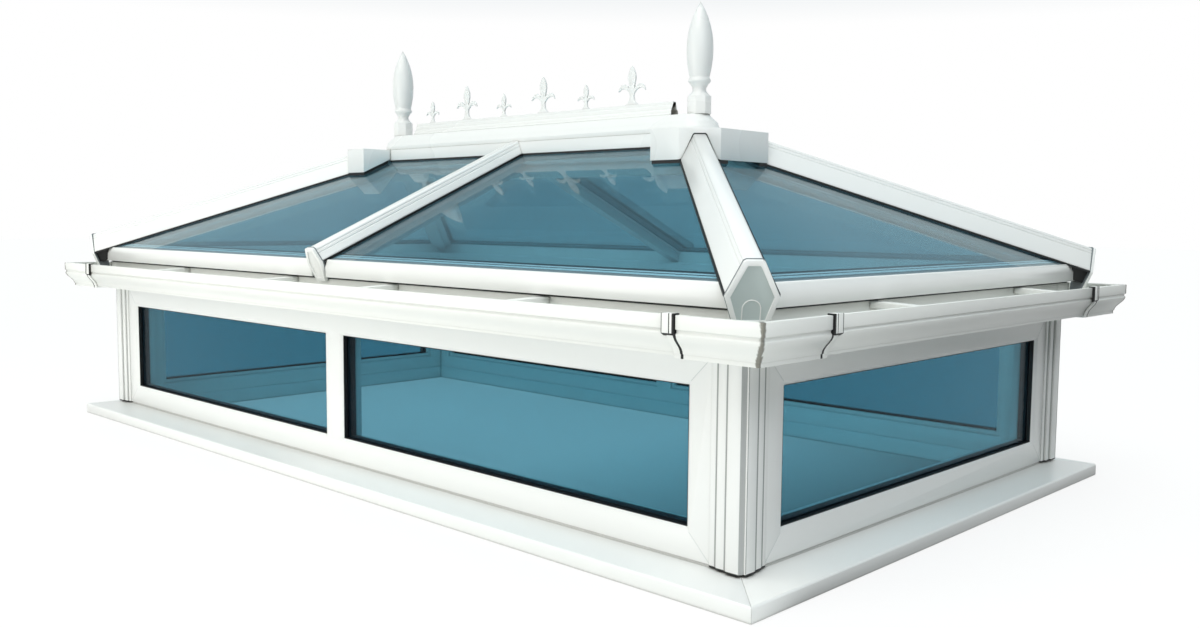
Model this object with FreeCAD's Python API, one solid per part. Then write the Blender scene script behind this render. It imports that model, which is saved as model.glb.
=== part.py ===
"""Roof lantern: a low glazed wall carrying a hipped, double-glazed roof.

Millimetres, +Z up, origin at the centre of the sill underside, long side along X.
Each named node is written to parts/NODE.step.
"""
import math
import os

import FreeCAD
import Part

V = FreeCAD.Vector
ORIGIN = V(0, 0, 0)
UP = V(0, 0, 1)
SIDES = {"front": 0, "right": 90, "back": 180, "left": 270}

# Window wall
FACE_L = 2660.0
FACE_W = 1405.0
WALL_D = 70.0
WALL_H = 390.0
SIGHT = 60.0
MULLION = 82.0
FACE_SPLAY = 9.0
SPLAY_DEEP = 6.0
REBATE_AT = 16.0
REBATE = 12.0
BEAD_D = 16.0

# Sill
SILL_OUT = 89.0
SILL_NOSE = 31.0
SILL_TOP = 48.0
SILL_GROOVE = 5.0
SILL_EDGE = 3.0

# Corner posts
POST = 82.0
POST_PROUD = 11.0
POST_STEP = 4.0
POST_SLOT = 5.0
SLOT_DEEP = 14.0
POST_LAND = 4.0
LAND_BACK = 9.0
POST_STRIPS = (18.0, 43.0)
POST_QUIRK = 3.0

# Sealed units
SHEET = 4.0
WALL_UNIT = 28.0
ROOF_UNIT = 24.0
EDGE_CLEAR = 2.0
SPACER_W = 12.0
SPACER_IN = 6.0

# Roof planes
PITCH = 24.0
HEEL = 150.0
GLASS_OUT = 30.0
GLASS_HIP = 22.0
GLASS_BAR = 12.0
GLASS_RIDGE = 45.0

# Eaves beam and trim
BEAM_OUT = 17.0
BEAM_H = 94.0
NIB_OUT = -5.0
NIB_IN = -17.0
TRIM_T = 4.0
TRIM_TOP = 2.0
TRIM_NOSE = 6.0
TRIM_ARRIS = 19.0
TRIM_BACK = 2.0
TRIM_DEEP = 44.5
TRIM_LEG = 14.0
TRIM_CLEAR = 1.0

# Gutter
GUTTER_T = 3.0
GUTTER_LIP = 127.0
GUTTER_FOOT = 103.5
GUTTER_DROP = 74.0
GUTTER_UNDER = 9.0
GUTTER_BACK = 7.0
GUTTER_BAND = 24.0
GUTTER_REED = 1.0
QUIRK_DEEP = 3.5
QUIRK_H = 7.5
GUTTER_TOE = 6.0
GUTTER_RETURN = 9.0
CORNER_FRONT = 180.0
CORNER_SIDE = 203.0
CORNER_GROW = 4.0
SOCKET = 25.0
STRAP_W = 15.0
STRAP_GAP = 6.0
CLIP_W = 23.0
CLIP_DROP = 36.0
CLIP_OUT = 3.0
CLIP_GROOVE = 1.8
BRACKET_W = 30.0
BRACKET_BACK = 14.0
BRACKET_FRONT_T = 9.0
BRACKET_FRONT = (-772.0, -145.0, 306.0, 832.0)
BRACKET_SIDE = (-300.0, 386.0)

# Hips and bars
HIP_HALF = 46.0
HIP_CREST = 12.5
HIP_HIGH = 53.0
BAR_HALF = 30.0
BAR_CREST = 12.0
BAR_HIGH = 40.0
CAP_OUT = 52.0
CAP_REEDS = (5.0, 14.0)
REED_W = 2.6
REED_DEEP = 1.6
GASKET_H = 5.0
GASKET_W = 7.0
WEB_HALF = 9.0
FLANGE_T = 6.0
RAFTER_CLEAR = 3.0
END_T = 10.0
END_LIP = 2.0
END_RIM = 10.0
END_TAPER = 0.64
END_SEAL = 2.0
END_SEAL_OUT = 1.0
CLOSURE_DEEP = 44.0
CLOSURE_LONG = 40.0
HIP_END_DEEP = 65.0
BAR_END_DEEP = 50.0
END_PANEL = 3.0

# Ridge
WING_HALF = 66.0
WING_T = 4.0
RIDGE_LIFT = 11.2
RIDGE_HALF = 64.0
RIDGE_HIGH = 49.0
RIDGE_TOP_HALF = 36.0
RIDGE_ROUND = 12.5
WEB_RIDGE = 35.0
RIDGE_DEEP = 110.0
RIDGE_PAST = 40.0
BOSS_OUT = 174.0
BOSS_FACE = 100.0
BOSS_IN = 6.5
BOSS_SEAL = 9.0
SEAL_IN = 3.0
TUNNEL_AT = 115.0
ARCH_GAP = 3.0
CRESTING_SHORT = 61.5
CRESTING_H = 39.0
CRESTING_HALF = 20.0
CRESTING_WALL = 2.0
CRESTING_OPEN = 25.0
FLEUR_T = 6.0
FLEUR_FIRST = 81.0
FLEUR_LAST = 60.0
FLEUR_STEP = 179.4
FLEUR_LARGE = 107.0
FLEUR_SMALL = 70.0
FINIAL_AT = 22.5
FINIAL_H = 290.0
FINIAL_BASE = 30.0
FINIAL_SIDES = 28
PLINTH_H = 46.0
SHOULDER = 12.0
NECK_R = 17.5
NECK_AT = 63.5
COLLAR_R = 29.5
COLLAR_AT = 84.0
COLLAR_T = 4.0
LEAF_FOOT_R = 25.5
LEAF_FOOT_AT = 95.0
LEAF_R = 35.0
LEAF_AT = 168.0
LEAF_STEPS = 6
WAIST_STEPS = 4

# Values that follow
XF = FACE_L / 2
YF = FACE_W / 2
XR = XF - YF
WALL_TOP = SILL_TOP + WALL_H
TAN = math.tan(math.radians(PITCH))
COS = math.cos(math.radians(PITCH))
SIN = math.sin(math.radians(PITCH))
APEX = WALL_TOP + HEEL + TAN * YF
HIP_TAN = TAN / math.sqrt(2)
HIP_COS = 1 / math.sqrt(1 + HIP_TAN ** 2)
HIP_SIN = HIP_TAN * HIP_COS
BEAM_TOP = WALL_TOP + BEAM_H
GUTTER_Z = WALL_TOP + GUTTER_UNDER
LIP_Z = GUTTER_Z + GUTTER_DROP
RIDGE_LOW = APEX + RIDGE_LIFT
RIDGE_TOP = RIDGE_LOW + RIDGE_HIGH
RAFTER_DEEP = (APEX - TAN * (YF + NIB_IN) - BEAM_TOP) * COS - RAFTER_CLEAR


def save(name, solids):
    """Write one node; several solids go into one compound."""
    shape = solids[0] if len(solids) == 1 else Part.makeCompound(solids)
    shape.exportStep(os.path.join("parts", name + ".step"))


def box(x0, x1, y0, y1, z0, z1):
    return Part.makeBox(x1 - x0, y1 - y0, z1 - z0, V(x0, y0, z0))


def wire(points):
    return Part.makePolygon(list(points) + [points[0]])


def slab(points, vector):
    """Extrude a closed flat outline."""
    return Part.Face(wire(points)).extrude(vector)


def turned(shape, angle):
    copy = shape.copy()
    copy.rotate(ORIGIN, UP, angle)
    return copy


def turned_to(shape, side):
    return turned(shape, SIDES[side])


def four(shape):
    """The piece at the near corner, and its mirrored partners at the other three."""
    across = shape.mirror(ORIGIN, V(1, 0, 0))
    return [shape, across] + [piece.mirror(ORIGIN, V(0, 1, 0)) for piece in (shape, across)]


def extents(side):
    """Half length along a side, and its distance from the middle."""
    return (XF, YF) if side in ("front", "back") else (YF, XF)


def square_run(section, side, start, stop):
    """A square-cut length of one wall side. Section is (outward, height)."""
    off = extents(side)[1]
    points = [V(start, -(off + d), z) for d, z in section]
    return turned_to(slab(points, V(stop - start, 0, 0)), side)


def mitre_wedge(side, trim=0.0):
    """All that belongs to one side between its two corner mitres, drawn in by trim."""
    half, off = extents(side)
    inner = -half / 2
    outer = GUTTER_LIP * 2
    plan = [V(sign * (half + d - trim), -(off + d), 0) for sign, d in (
        (-1, inner), (1, inner), (1, outer), (-1, outer))]
    return turned_to(slab(plan, V(0, 0, APEX * 2)), side)


def run(section, side, trim=0.0):
    """A length of one wall side, mitred at both corners."""
    reach = extents(side)[0] + GUTTER_LIP * 2
    return square_run(section, side, -reach, reach).common(mitre_wedge(side, trim))


def mirrored(half_section):
    """Close a symmetric section from its right half, given from the top down."""
    return list(half_section) + [(-a, b) for a, b in reversed(half_section)]


def roof_solid(lift=0.0, low=0.0):
    """Everything under the four roof planes, lifted square to the planes."""
    top = APEX + lift / COS
    reach_y = (top - low) / TAN
    reach_x = XR + reach_y
    across = slab([V(-reach_x, -reach_y, low), V(-reach_x, reach_y, low), V(-reach_x, 0, top)],
                  V(2 * reach_x, 0, 0))
    along = [V(-reach_x, -reach_y, low), V(-XR, -reach_y, top), V(XR, -reach_y, top),
             V(reach_x, -reach_y, low)]
    return across.common(slab(along, V(0, 2 * reach_y, 0)))


# Windows
def rectangle(x0, x1, y, z0, z1):
    return wire([V(x0, y, z0), V(x1, y, z0), V(x1, y, z1), V(x0, y, z1)])


def panes(side):
    """Visible glass of one wall side as (x0, x1, z0, z1)."""
    reach = extents(side)[0] + POST_PROUD - POST - SIGHT
    low = SILL_TOP + SIGHT
    high = WALL_TOP - SIGHT
    if side in ("front", "back"):
        half = MULLION / 2
        return [(-reach, -half, low, high), (half, reach, low, high)]
    return [(-reach, reach, low, high)]


def grown(pane, by, y0, y1):
    x0, x1, z0, z1 = pane
    return box(x0 - by, x1 + by, y0, y1, z0 - by, z1 + by)


def to_wall(shape, side):
    """From a drawing with its outer face on y = 0 to its place in the wall."""
    copy = shape.copy()
    copy.translate(V(0, -extents(side)[1], 0))
    return turned_to(copy, side)


def window(side):
    reach = extents(side)[0] + POST_PROUD - POST
    frame = box(-reach, reach, 0, WALL_D, SILL_TOP, WALL_TOP)
    for pane in panes(side):
        x0, x1, z0, z1 = pane
        s = FACE_SPLAY
        splay = Part.makeLoft([rectangle(x0 - s, x1 + s, 0, z0 - s, z1 + s),
                               rectangle(x0, x1, SPLAY_DEEP, z0, z1)], True, True)
        frame = frame.cut(splay).cut(grown(pane, 0, 0, WALL_D))
        frame = frame.cut(grown(pane, REBATE, REBATE_AT, WALL_D))
    return to_wall(frame, side)


def wall_sheets(side):
    sheets = []
    for pane in panes(side):
        for y in (REBATE_AT, REBATE_AT + WALL_UNIT - SHEET):
            sheets.append(to_wall(grown(pane, REBATE - EDGE_CLEAR, y, y + SHEET), side))
    return sheets


def wall_spacers(side):
    y0 = REBATE_AT + SHEET
    y1 = REBATE_AT + WALL_UNIT - SHEET
    outer = REBATE - EDGE_CLEAR - EDGE_CLEAR
    return [to_wall(grown(pane, outer, y0, y1).cut(grown(pane, outer - SPACER_W, y0, y1)), side)
            for pane in panes(side)]


def beads(side):
    y0 = REBATE_AT + WALL_UNIT
    return [to_wall(grown(pane, REBATE, y0, y0 + BEAD_D).cut(grown(pane, 0, y0, y0 + BEAD_D)), side)
            for pane in panes(side)]


def corner_post():
    """Stepped cover: each strip stands prouder towards the corner, which has a slot beside a low land."""
    level = POST_PROUD - 2 * POST_STEP
    face = [(0, level)]
    for at in POST_STRIPS:
        quirk = level - POST_QUIRK
        face += [(at - POST_QUIRK, level), (at - POST_QUIRK, quirk), (at, quirk)]
        level += POST_STEP
        face.append((at, level))
    slot = POST - POST_LAND - POST_SLOT
    land = POST - POST_LAND
    notch = [(slot, level), (slot, level - SLOT_DEEP), (land, level - SLOT_DEEP), (land, level - LAND_BACK)]
    x0 = XF + POST_PROUD - POST
    y0 = YF + POST_PROUD - POST
    front = [V(x0 + a, -(YF + d), SILL_TOP) for a, d in face + notch]
    side = [V(XF + d, -(y0 + a), SILL_TOP) for a, d in reversed(face + [(POST - LAND_BACK, level)])]
    return slab(front + side + [V(x0, -y0, SILL_TOP)], V(0, 0, WALL_H))


sill_section = [(-WALL_D, 0), (SILL_OUT, 0), (SILL_OUT, SILL_NOSE - SILL_EDGE),
                (SILL_OUT - SILL_EDGE, SILL_NOSE), (0, SILL_TOP - SILL_GROOVE),
                (-SILL_EDGE, SILL_TOP - SILL_GROOVE), (-SILL_EDGE, SILL_TOP),
                (-WALL_D, SILL_TOP)]


# Eaves
def glass_under(outward):
    return APEX - TAN * (YF + outward) - ROOF_UNIT / COS


beam_section = [(-WALL_D, WALL_TOP), (BEAM_OUT, WALL_TOP), (BEAM_OUT, BEAM_TOP), (NIB_OUT, BEAM_TOP),
                (NIB_OUT, glass_under(NIB_OUT)), (NIB_IN, glass_under(NIB_IN)), (NIB_IN, BEAM_TOP),
                (-WALL_D, BEAM_TOP)]


def slope_point(run_out, normal):
    """Roof-plane place as (outward, height): plan run past the wall face, and square lift."""
    return run_out + normal * SIN, APEX - TAN * (YF + run_out) + normal * COS


trim_top = slope_point(GLASS_OUT + TRIM_T * COS, TRIM_TOP)
trim_nose = (trim_top[0] + TRIM_NOSE, trim_top[1] - TRIM_ARRIS)
trim_foot = (trim_nose[0] - TRIM_BACK, trim_top[1] - TRIM_DEEP)
trim_seat = [slope_point(r, n) for r, n in (
    (GLASS_OUT, TRIM_TOP), (GLASS_OUT, -ROOF_UNIT), (GLASS_OUT - TRIM_LEG, -ROOF_UNIT),
    (GLASS_OUT - TRIM_LEG, -ROOF_UNIT - TRIM_TOP), (GLASS_OUT, -ROOF_UNIT - TRIM_TOP))]
trim_section = [trim_top] + trim_seat + [(trim_foot[0] - TRIM_T, trim_foot[1]), trim_foot, trim_nose]


# Gutter
def outline(grow, back):
    """Outer line of the gutter section, grown outwards: foot, ogee, quirk and band up to the lip."""
    top = LIP_Z - GUTTER_BAND
    bulge = top - QUIRK_H
    quirk = GUTTER_LIP - QUIRK_DEEP + grow
    toe = GUTTER_Z + GUTTER_TOE
    swing = GUTTER_LIP - GUTTER_REED - GUTTER_FOOT - 2
    points = [(back, GUTTER_Z - grow), (GUTTER_FOOT + grow, GUTTER_Z - grow),
              (GUTTER_FOOT + grow, toe - grow / 2)]
    for step in range(8):
        t = step / 7
        d = GUTTER_FOOT + 2 + swing * (1 - math.cos(math.pi * t)) / 2
        points.append((d + grow, toe + 1 + (bulge - 1 - toe) * t - grow / 2))
    points += [(quirk, top - QUIRK_H * 0.6 - grow / 2), (quirk, top - QUIRK_H / 3)]
    return points + [(GUTTER_LIP + grow, top), (GUTTER_LIP + grow, LIP_Z)]


def shell(inner, outer, back):
    return outline(outer, back) + list(reversed(outline(inner, back)))


gutter_inner = outline(-GUTTER_T, BEAM_OUT + GUTTER_T)
gutter_inner[-1] = (GUTTER_LIP - GUTTER_T, LIP_Z - GUTTER_T)
gutter_section = ([(BEAM_OUT, BEAM_TOP - GUTTER_BACK)] + outline(0, BEAM_OUT)
                  + [(GUTTER_LIP - GUTTER_RETURN, LIP_Z), (GUTTER_LIP - GUTTER_RETURN, LIP_Z - GUTTER_T)]
                  + list(reversed(gutter_inner)) + [(BEAM_OUT + GUTTER_T, BEAM_TOP - GUTTER_BACK)])
socket_section = shell(0, CORNER_GROW, BEAM_OUT + GUTTER_T)
arm_section = ([(BEAM_OUT, BEAM_TOP - GUTTER_BACK)] + outline(CORNER_GROW, BEAM_OUT)
               + [(GUTTER_LIP - GUTTER_RETURN, LIP_Z), (GUTTER_LIP - GUTTER_RETURN, LIP_Z - GUTTER_T)]
               + list(reversed(gutter_inner)) + [(BEAM_OUT + GUTTER_T, BEAM_TOP - GUTTER_BACK)])


def corner_mouth(side):
    """Where a corner angle ends along a side."""
    arm = CORNER_FRONT if side in ("front", "back") else CORNER_SIDE
    return extents(side)[0] + GUTTER_LIP - arm


def gutter_corner():
    """Mitred angle; its sockets reach back over the ends of the two runs."""
    arms = []
    for side, sign in (("front", 1), ("right", -1)):
        mouth = corner_mouth(side)
        seat = mouth + SOCKET
        arm = square_run(arm_section, side, sign * seat, sign * (mouth + 2 * CORNER_SIDE))
        arms.append(arm.common(mitre_wedge(side)))
        arms.append(square_run(socket_section, side, sign * mouth, sign * seat))
    return arms[0].multiFuse(arms[1:]).removeSplitter()


def gutter_strap(side):
    """Retaining strap with its clip, a shadow gap short of the corner angle."""
    stop = corner_mouth(side) - STRAP_GAP
    start = stop - CLIP_W
    face = GUTTER_LIP + CORNER_GROW + CLIP_OUT
    hook = GUTTER_LIP - GUTTER_RETURN
    top = LIP_Z + 3
    low = LIP_Z - CLIP_DROP
    clip = [(GUTTER_LIP, LIP_Z), (GUTTER_LIP, low), (face, low + 4), (face, top), (hook, top), (hook, LIP_Z)]
    groove = [(face, low), (face, top), (face - CLIP_GROOVE, top), (face - CLIP_GROOVE, low)]
    middle = stop - STRAP_W / 2
    strap = square_run(socket_section, side, stop - STRAP_W, stop).fuse(square_run(clip, side, start, stop))
    for tool, begin, end in ((gutter_section, start, stop), (groove, middle, middle + CLIP_GROOVE)):
        strap = strap.cut(square_run(tool, side, begin, end))
    return strap.removeSplitter()


def gutter_bracket(side, at):
    """Arm across the trough, from the back wall to a seat under the lip's return."""
    back = BEAM_OUT + GUTTER_T
    top = BEAM_TOP - GUTTER_BACK
    front = GUTTER_LIP - GUTTER_T
    hook = GUTTER_LIP - GUTTER_RETURN
    seat = LIP_Z - GUTTER_T
    bar = [(back, top - BRACKET_BACK), (front, LIP_Z - BRACKET_FRONT_T), (front, seat), (hook, seat),
           (hook, LIP_Z), (back, top)]
    return square_run(bar, side, at - BRACKET_W / 2, at + BRACKET_W / 2)


# Roof members drawn square to their own slope
class Member:
    """A straight sloping member with width, square-up and downhill directions."""

    def __init__(self, start, width, square_up, downhill):
        self.start = start
        self.width = width
        self.square_up = square_up
        self.downhill = downhill

    def prism(self, section, begin, end):
        points = [self.start + self.width * w + self.square_up * n + self.downhill * begin
                  for w, n in section]
        return slab(points, self.downhill * (end - begin))


def hip_run(plan):
    """True length along a hip for a plan distance along X."""
    return plan * math.sqrt(2) / HIP_COS


HALF_TURN = 1 / math.sqrt(2)
hip = Member(V(XR, 0, APEX), V(HALF_TURN, HALF_TURN, 0),
             V(HIP_SIN * HALF_TURN, -HIP_SIN * HALF_TURN, HIP_COS),
             V(HIP_COS * HALF_TURN, -HIP_COS * HALF_TURN, -HIP_SIN))
bar = Member(V(0, 0, APEX), V(1, 0, 0), V(0, -SIN, COS), V(0, -COS, -SIN))
HIP_FALL = HIP_TAN * HIP_COS
hip_end = hip_run(YF + CAP_OUT)
bar_end = (YF + CAP_OUT) / COS


def reed_points(top, foot, reeds):
    """Small grooves down a straight flank, each at its distance from the top."""
    long = math.dist(top, foot)
    dx, dy = (foot[0] - top[0]) / long, (foot[1] - top[1]) / long
    marks = [(at + shift, deep) for at in reeds
             for shift, deep in ((-REED_W / 2, 0), (0, REED_DEEP), (REED_W / 2, 0))]
    return [(top[0] + dx * s + dy * deep, top[1] + dy * s - dx * deep) for s, deep in marks]


def cap_section(half, crest, high, fall, reeds=()):
    """Pitched cover: flat crest, rounded shoulders, reeded sides, underside clear of the glass."""
    edge = GASKET_H - half * fall
    shoulder = (crest + 3.5, high - 2.5)
    foot = (half - 1, edge + 4)
    right = [(crest, high), shoulder] + reed_points(shoulder, foot, reeds)
    return mirrored(right + [foot, (half, edge + 2), (half, edge)] + cap_underside(half, fall))


def cap_underside(half, fall):
    """Right half of the hollow under a cover, from its gasket to the rafter's web."""
    return [(half - GASKET_W, GASKET_H - (half - GASKET_W) * fall), (WEB_HALF, GASKET_H + 3)]


def gasket_section(half, fall, sign):
    inner = half - GASKET_W
    return [(sign * half, -half * fall), (sign * half, GASKET_H - half * fall),
            (sign * inner, GASKET_H - inner * fall), (sign * inner, -inner * fall)]


def rafter(member, half, fall, begin, end):
    """Web between the panes, and a flanged box under them as far in as the eaves beam."""
    unit = ROOF_UNIT * math.sqrt(1 + fall ** 2)
    flange = half - 6
    under = -unit - WEB_HALF * fall
    lip = -unit - flange * fall
    web = mirrored([(WEB_HALF, under), (WEB_HALF, GASKET_H + 3)]) + [(0, -unit)]
    low = mirrored([(flange, lip), (flange, lip - FLANGE_T), (WEB_HALF * 2, lip - FLANGE_T),
                    (WEB_HALF * 2, -RAFTER_DEEP)]) + [(0, -unit)]
    inside = box(-XF - NIB_IN, XF + NIB_IN, -YF - NIB_IN, YF + NIB_IN, 0, APEX * 2)
    piece = member.prism(web, begin, end).fuse(member.prism(low, begin, end).common(inside)).cut(ridge_beam)
    return max(piece.Solids, key=lambda solid: solid.Volume).removeSplitter()


def end_section(half, crest, high, fall, deep, inset):
    """Outline of a bar end cap, drawn in by inset for its raised rim."""
    wide = half + END_LIP - inset
    low = -deep + inset
    top = high + END_LIP - inset
    right = [(crest + 1 - inset * 0.3, top), (crest + 6 - inset * 0.6, top - 3),
             (wide, -half * fall + 2), (wide * END_TAPER, low)]
    return mirrored(right)


def end_cap(member, half, crest, high, fall, deep, at):
    cap = member.prism(end_section(half, crest, high, fall, deep, 0), at - END_T + END_SEAL, at)
    panel = member.prism(end_section(half, crest, high, fall, deep, END_RIM), at - END_PANEL, at)
    return cap.cut(panel)


def end_seal(member, half, crest, high, fall, deep, at):
    """Rubber between a cover and its end cap, a little proud of both."""
    section = end_section(half, crest, high, fall, deep, -END_SEAL_OUT)
    return member.prism(section, at - END_T, at - END_T + END_SEAL)


def hip_closure(around):
    """Rubber block in the hip's open end, from the eaves trims to the end cap, clear of what is around."""
    inner, web = cap_underside(HIP_HALF, HIP_FALL)
    section = mirrored([web, inner, (HIP_HALF * END_TAPER, -CLOSURE_DEEP)])
    block = hip.prism(section, hip_end - END_T - CLOSURE_LONG, hip_end - END_T)
    for piece in around:
        block = block.cut(piece)
    return max(block.Solids, key=lambda solid: solid.Volume).removeSplitter()


hip_cap_section = cap_section(HIP_HALF, HIP_CREST, HIP_HIGH, HIP_FALL, CAP_REEDS)
bar_cap_section = cap_section(BAR_HALF, BAR_CREST, BAR_HIGH, 0, CAP_REEDS)
hip_plain_section = cap_section(HIP_HALF, HIP_CREST, HIP_HIGH, HIP_FALL)
tunnel_section = cap_section(HIP_HALF, HIP_CREST + ARCH_GAP / 2, HIP_HIGH + ARCH_GAP, HIP_FALL)
tunnel_start = hip_run(TUNNEL_AT)

# Ridge
ridge_box = box(-XR - RIDGE_PAST, XR + RIDGE_PAST, -WEB_RIDGE, WEB_RIDGE, RIDGE_LOW - RIDGE_DEEP, RIDGE_LOW)
unit_drop = ROOF_UNIT / COS
flange_half = WING_HALF - 4
flange = [(WEB_RIDGE, 0), (flange_half, 0), (flange_half, FLANGE_T), (WEB_RIDGE, FLANGE_T)]
flange_bar = slab([V(-XR - RIDGE_PAST, -y, APEX - TAN * y - unit_drop - k) for y, k in flange],
                  V(2 * (XR + RIDGE_PAST), 0, 0))
ridge_beam = ridge_box.fuse(flange_bar).fuse(flange_bar.mirror(ORIGIN, V(0, 1, 0))).removeSplitter()
wing_foot = APEX - TAN * WING_HALF + GASKET_H / COS
ridge_inner = XR + BOSS_IN
boss_low = APEX - 2 * TAN * BOSS_OUT


def ridge_wing(sign):
    under = RIDGE_LOW - WING_T
    inner = WING_HALF - WING_T
    points = [(WEB_RIDGE, RIDGE_LOW), (WEB_RIDGE, under), (inner, under), (inner, wing_foot + TAN * WING_T),
              (WING_HALF, wing_foot), (WING_HALF, RIDGE_LOW)]
    return slab([V(-ridge_inner, sign * y, z) for y, z in points], V(2 * ridge_inner, 0, 0))


def ridge_gasket(sign):
    inner = WING_HALF - GASKET_W
    points = [(WING_HALF, APEX - TAN * WING_HALF), (WING_HALF, wing_foot),
              (inner, wing_foot + TAN * GASKET_W), (inner, APEX - TAN * inner)]
    return slab([V(-ridge_inner, sign * y, z) for y, z in points], V(2 * ridge_inner, 0, 0))


ridge_profile = [(RIDGE_HALF, RIDGE_LOW), (RIDGE_HALF, RIDGE_LOW + 13), (RIDGE_HALF - 3, RIDGE_LOW + 16),
                 (RIDGE_HALF - 6, RIDGE_LOW + 26), (RIDGE_TOP_HALF + 2, RIDGE_TOP - 5),
                 (RIDGE_TOP_HALF, RIDGE_TOP)]


def ridge_cap():
    centre = XR + RIDGE_ROUND
    middle = slab([V(-centre, y, z) for y, z in mirrored(list(reversed(ridge_profile)))], V(2 * centre, 0, 0))
    half = [V(0, 0, RIDGE_LOW)] + [V(r, 0, z) for r, z in ridge_profile] + [V(0, 0, RIDGE_TOP)]
    turn = Part.Face(wire(half)).revolve(ORIGIN, UP, 360)
    for sign in (1, -1):
        copy = turn.copy()
        copy.translate(V(sign * centre, 0, 0))
        middle = middle.fuse(copy)
    return middle.removeSplitter()


def boss_block(inset, low, high):
    """Half-octagon plan at the right end of the ridge."""
    out = BOSS_OUT - inset
    points = [(BOSS_IN + inset, out), (BOSS_FACE, out), (out, BOSS_FACE)]
    plan = [(x, -y) for x, y in points] + [(x, y) for x, y in reversed(points)]
    return slab([V(XR + x, y, low) for x, y in plan], V(0, 0, high - low))


def ridge_boss():
    block = boss_block(0, boss_low, RIDGE_LOW).cut(roof_solid(BOSS_SEAL))
    tunnel = hip.prism(tunnel_section, tunnel_start, hip_end)
    for cut in (tunnel, tunnel.mirror(ORIGIN, V(0, 1, 0)), ridge_beam):
        block = block.cut(cut)
    return block


def boss_seal():
    seal = boss_block(SEAL_IN, boss_low, RIDGE_LOW).common(roof_solid(BOSS_SEAL)).cut(roof_solid())
    keep = hip.prism(mirrored([(HIP_HALF, HIP_HIGH), (HIP_HALF, -HIP_END_DEEP)]), 0, hip_end)
    for cut in (keep, keep.mirror(ORIGIN, V(0, 1, 0)), box(0, XF, -WING_HALF, WING_HALF, 0, APEX * 2)):
        seal = seal.cut(cut)
    return seal


def arch_seal():
    """Rubber arch between a hip cover and the boss, set back from the boss's face."""
    arch = hip.prism(tunnel_section, tunnel_start, hip_end)
    arch = arch.cut(hip.prism(hip_plain_section, tunnel_start, hip_end))
    return arch.common(boss_block(SEAL_IN, boss_low, RIDGE_LOW))


def cresting():
    steps = [(CRESTING_HALF, 0), (CRESTING_HALF, 0.13), (CRESTING_HALF - 4, 0.2), (CRESTING_HALF - 5, 0.4),
             (CRESTING_HALF - 10, 0.47), (CRESTING_HALF - 11, 0.72), (FLEUR_T, 0.8), (FLEUR_T, 1)]
    section = mirrored([(y, RIDGE_TOP + f * CRESTING_H) for y, f in reversed(steps)])
    end = XR - CRESTING_SHORT
    strip = slab([V(-end, y, z) for y, z in section], V(2 * end, 0, 0))
    gaps = int((2 * end - FLEUR_FIRST - FLEUR_LAST) / FLEUR_STEP)
    hollow = [(FLEUR_T, 0.93), (CRESTING_HALF - 11, 0.47), (CRESTING_HALF - 5, 0.38),
              (CRESTING_HALF - 4, 0.06)]
    pocket = mirrored([(y - CRESTING_WALL, RIDGE_TOP + f * CRESTING_H) for y, f in hollow])
    for start in (-end, end - CRESTING_OPEN):
        strip = strip.cut(slab([V(start, y, z) for y, z in pocket], V(CRESTING_OPEN, 0, 0)))
    for index in range(gaps + 1):
        high = FLEUR_LARGE if index % 2 else FLEUR_SMALL
        strip = strip.fuse(fleur(FLEUR_FIRST - end + index * FLEUR_STEP, high))
    return strip


def fleur(at, high):
    """Spear between two drooping leaves on a flared foot, as fractions of the height."""
    half = [(0, 1), (0.075, 0.9), (0.125, 0.78), (0.13, 0.67), (0.1, 0.54), (0.085, 0.43), (0.15, 0.49),
            (0.25, 0.54), (0.35, 0.53), (0.43, 0.47), (0.47, 0.36), (0.38, 0.42), (0.28, 0.43), (0.17, 0.39),
            (0.08, 0.3), (0.065, 0.22), (0.095, 0.11), (0.16, 0.04), (0.29, -0.02)]
    base = RIDGE_TOP + CRESTING_H
    points = [V(at + a * high, -FLEUR_T / 2, base + b * high) for a, b in mirrored(half[1:])]
    return slab([V(at, -FLEUR_T / 2, base + high)] + points, V(0, FLEUR_T, 0))


def bow(wide, end):
    """Points of an arc that leaves its widest point upright, after that point and up to the end."""
    fall = wide[0] - end[0]
    rise = end[1] - wide[1]
    radius = (fall ** 2 + rise ** 2) / (2 * fall)
    levels = [rise * (step + 1) / LEAF_STEPS for step in range(LEAF_STEPS - 1)]
    arc = [(wide[0] - radius + math.sqrt(radius ** 2 - level ** 2), wide[1] + level) for level in levels]
    return arc + [end]


def ring(sides, flat, level):
    """Corners of a regular outline at a height, given by the distance from its axis to a flat."""
    corner = flat / math.cos(math.pi / sides)
    turns = [math.pi * (2 * k + 1) / sides for k in range(sides)]
    return [V(corner * math.cos(a), corner * math.sin(a), level) for a in turns]


def faceted(line, sides):
    """Solid of flat faces round the upright axis, through radii and levels that end on the axis."""
    rings = [ring(sides, flat, level) for flat, level in line[:-1]]
    tip = V(0, 0, line[-1][1])
    outlines = [rings[0]]
    for k in range(sides):
        j = (k + 1) % sides
        outlines += [[low[k], low[j], high[j], high[k]] for low, high in zip(rings, rings[1:])]
        outlines.append([rings[-1][k], rings[-1][j], tip])
    solid = Part.makeSolid(Part.makeShell([Part.Face(wire(points)) for points in outlines]))
    if solid.Volume < 0:
        solid.reverse()
    return solid


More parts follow.
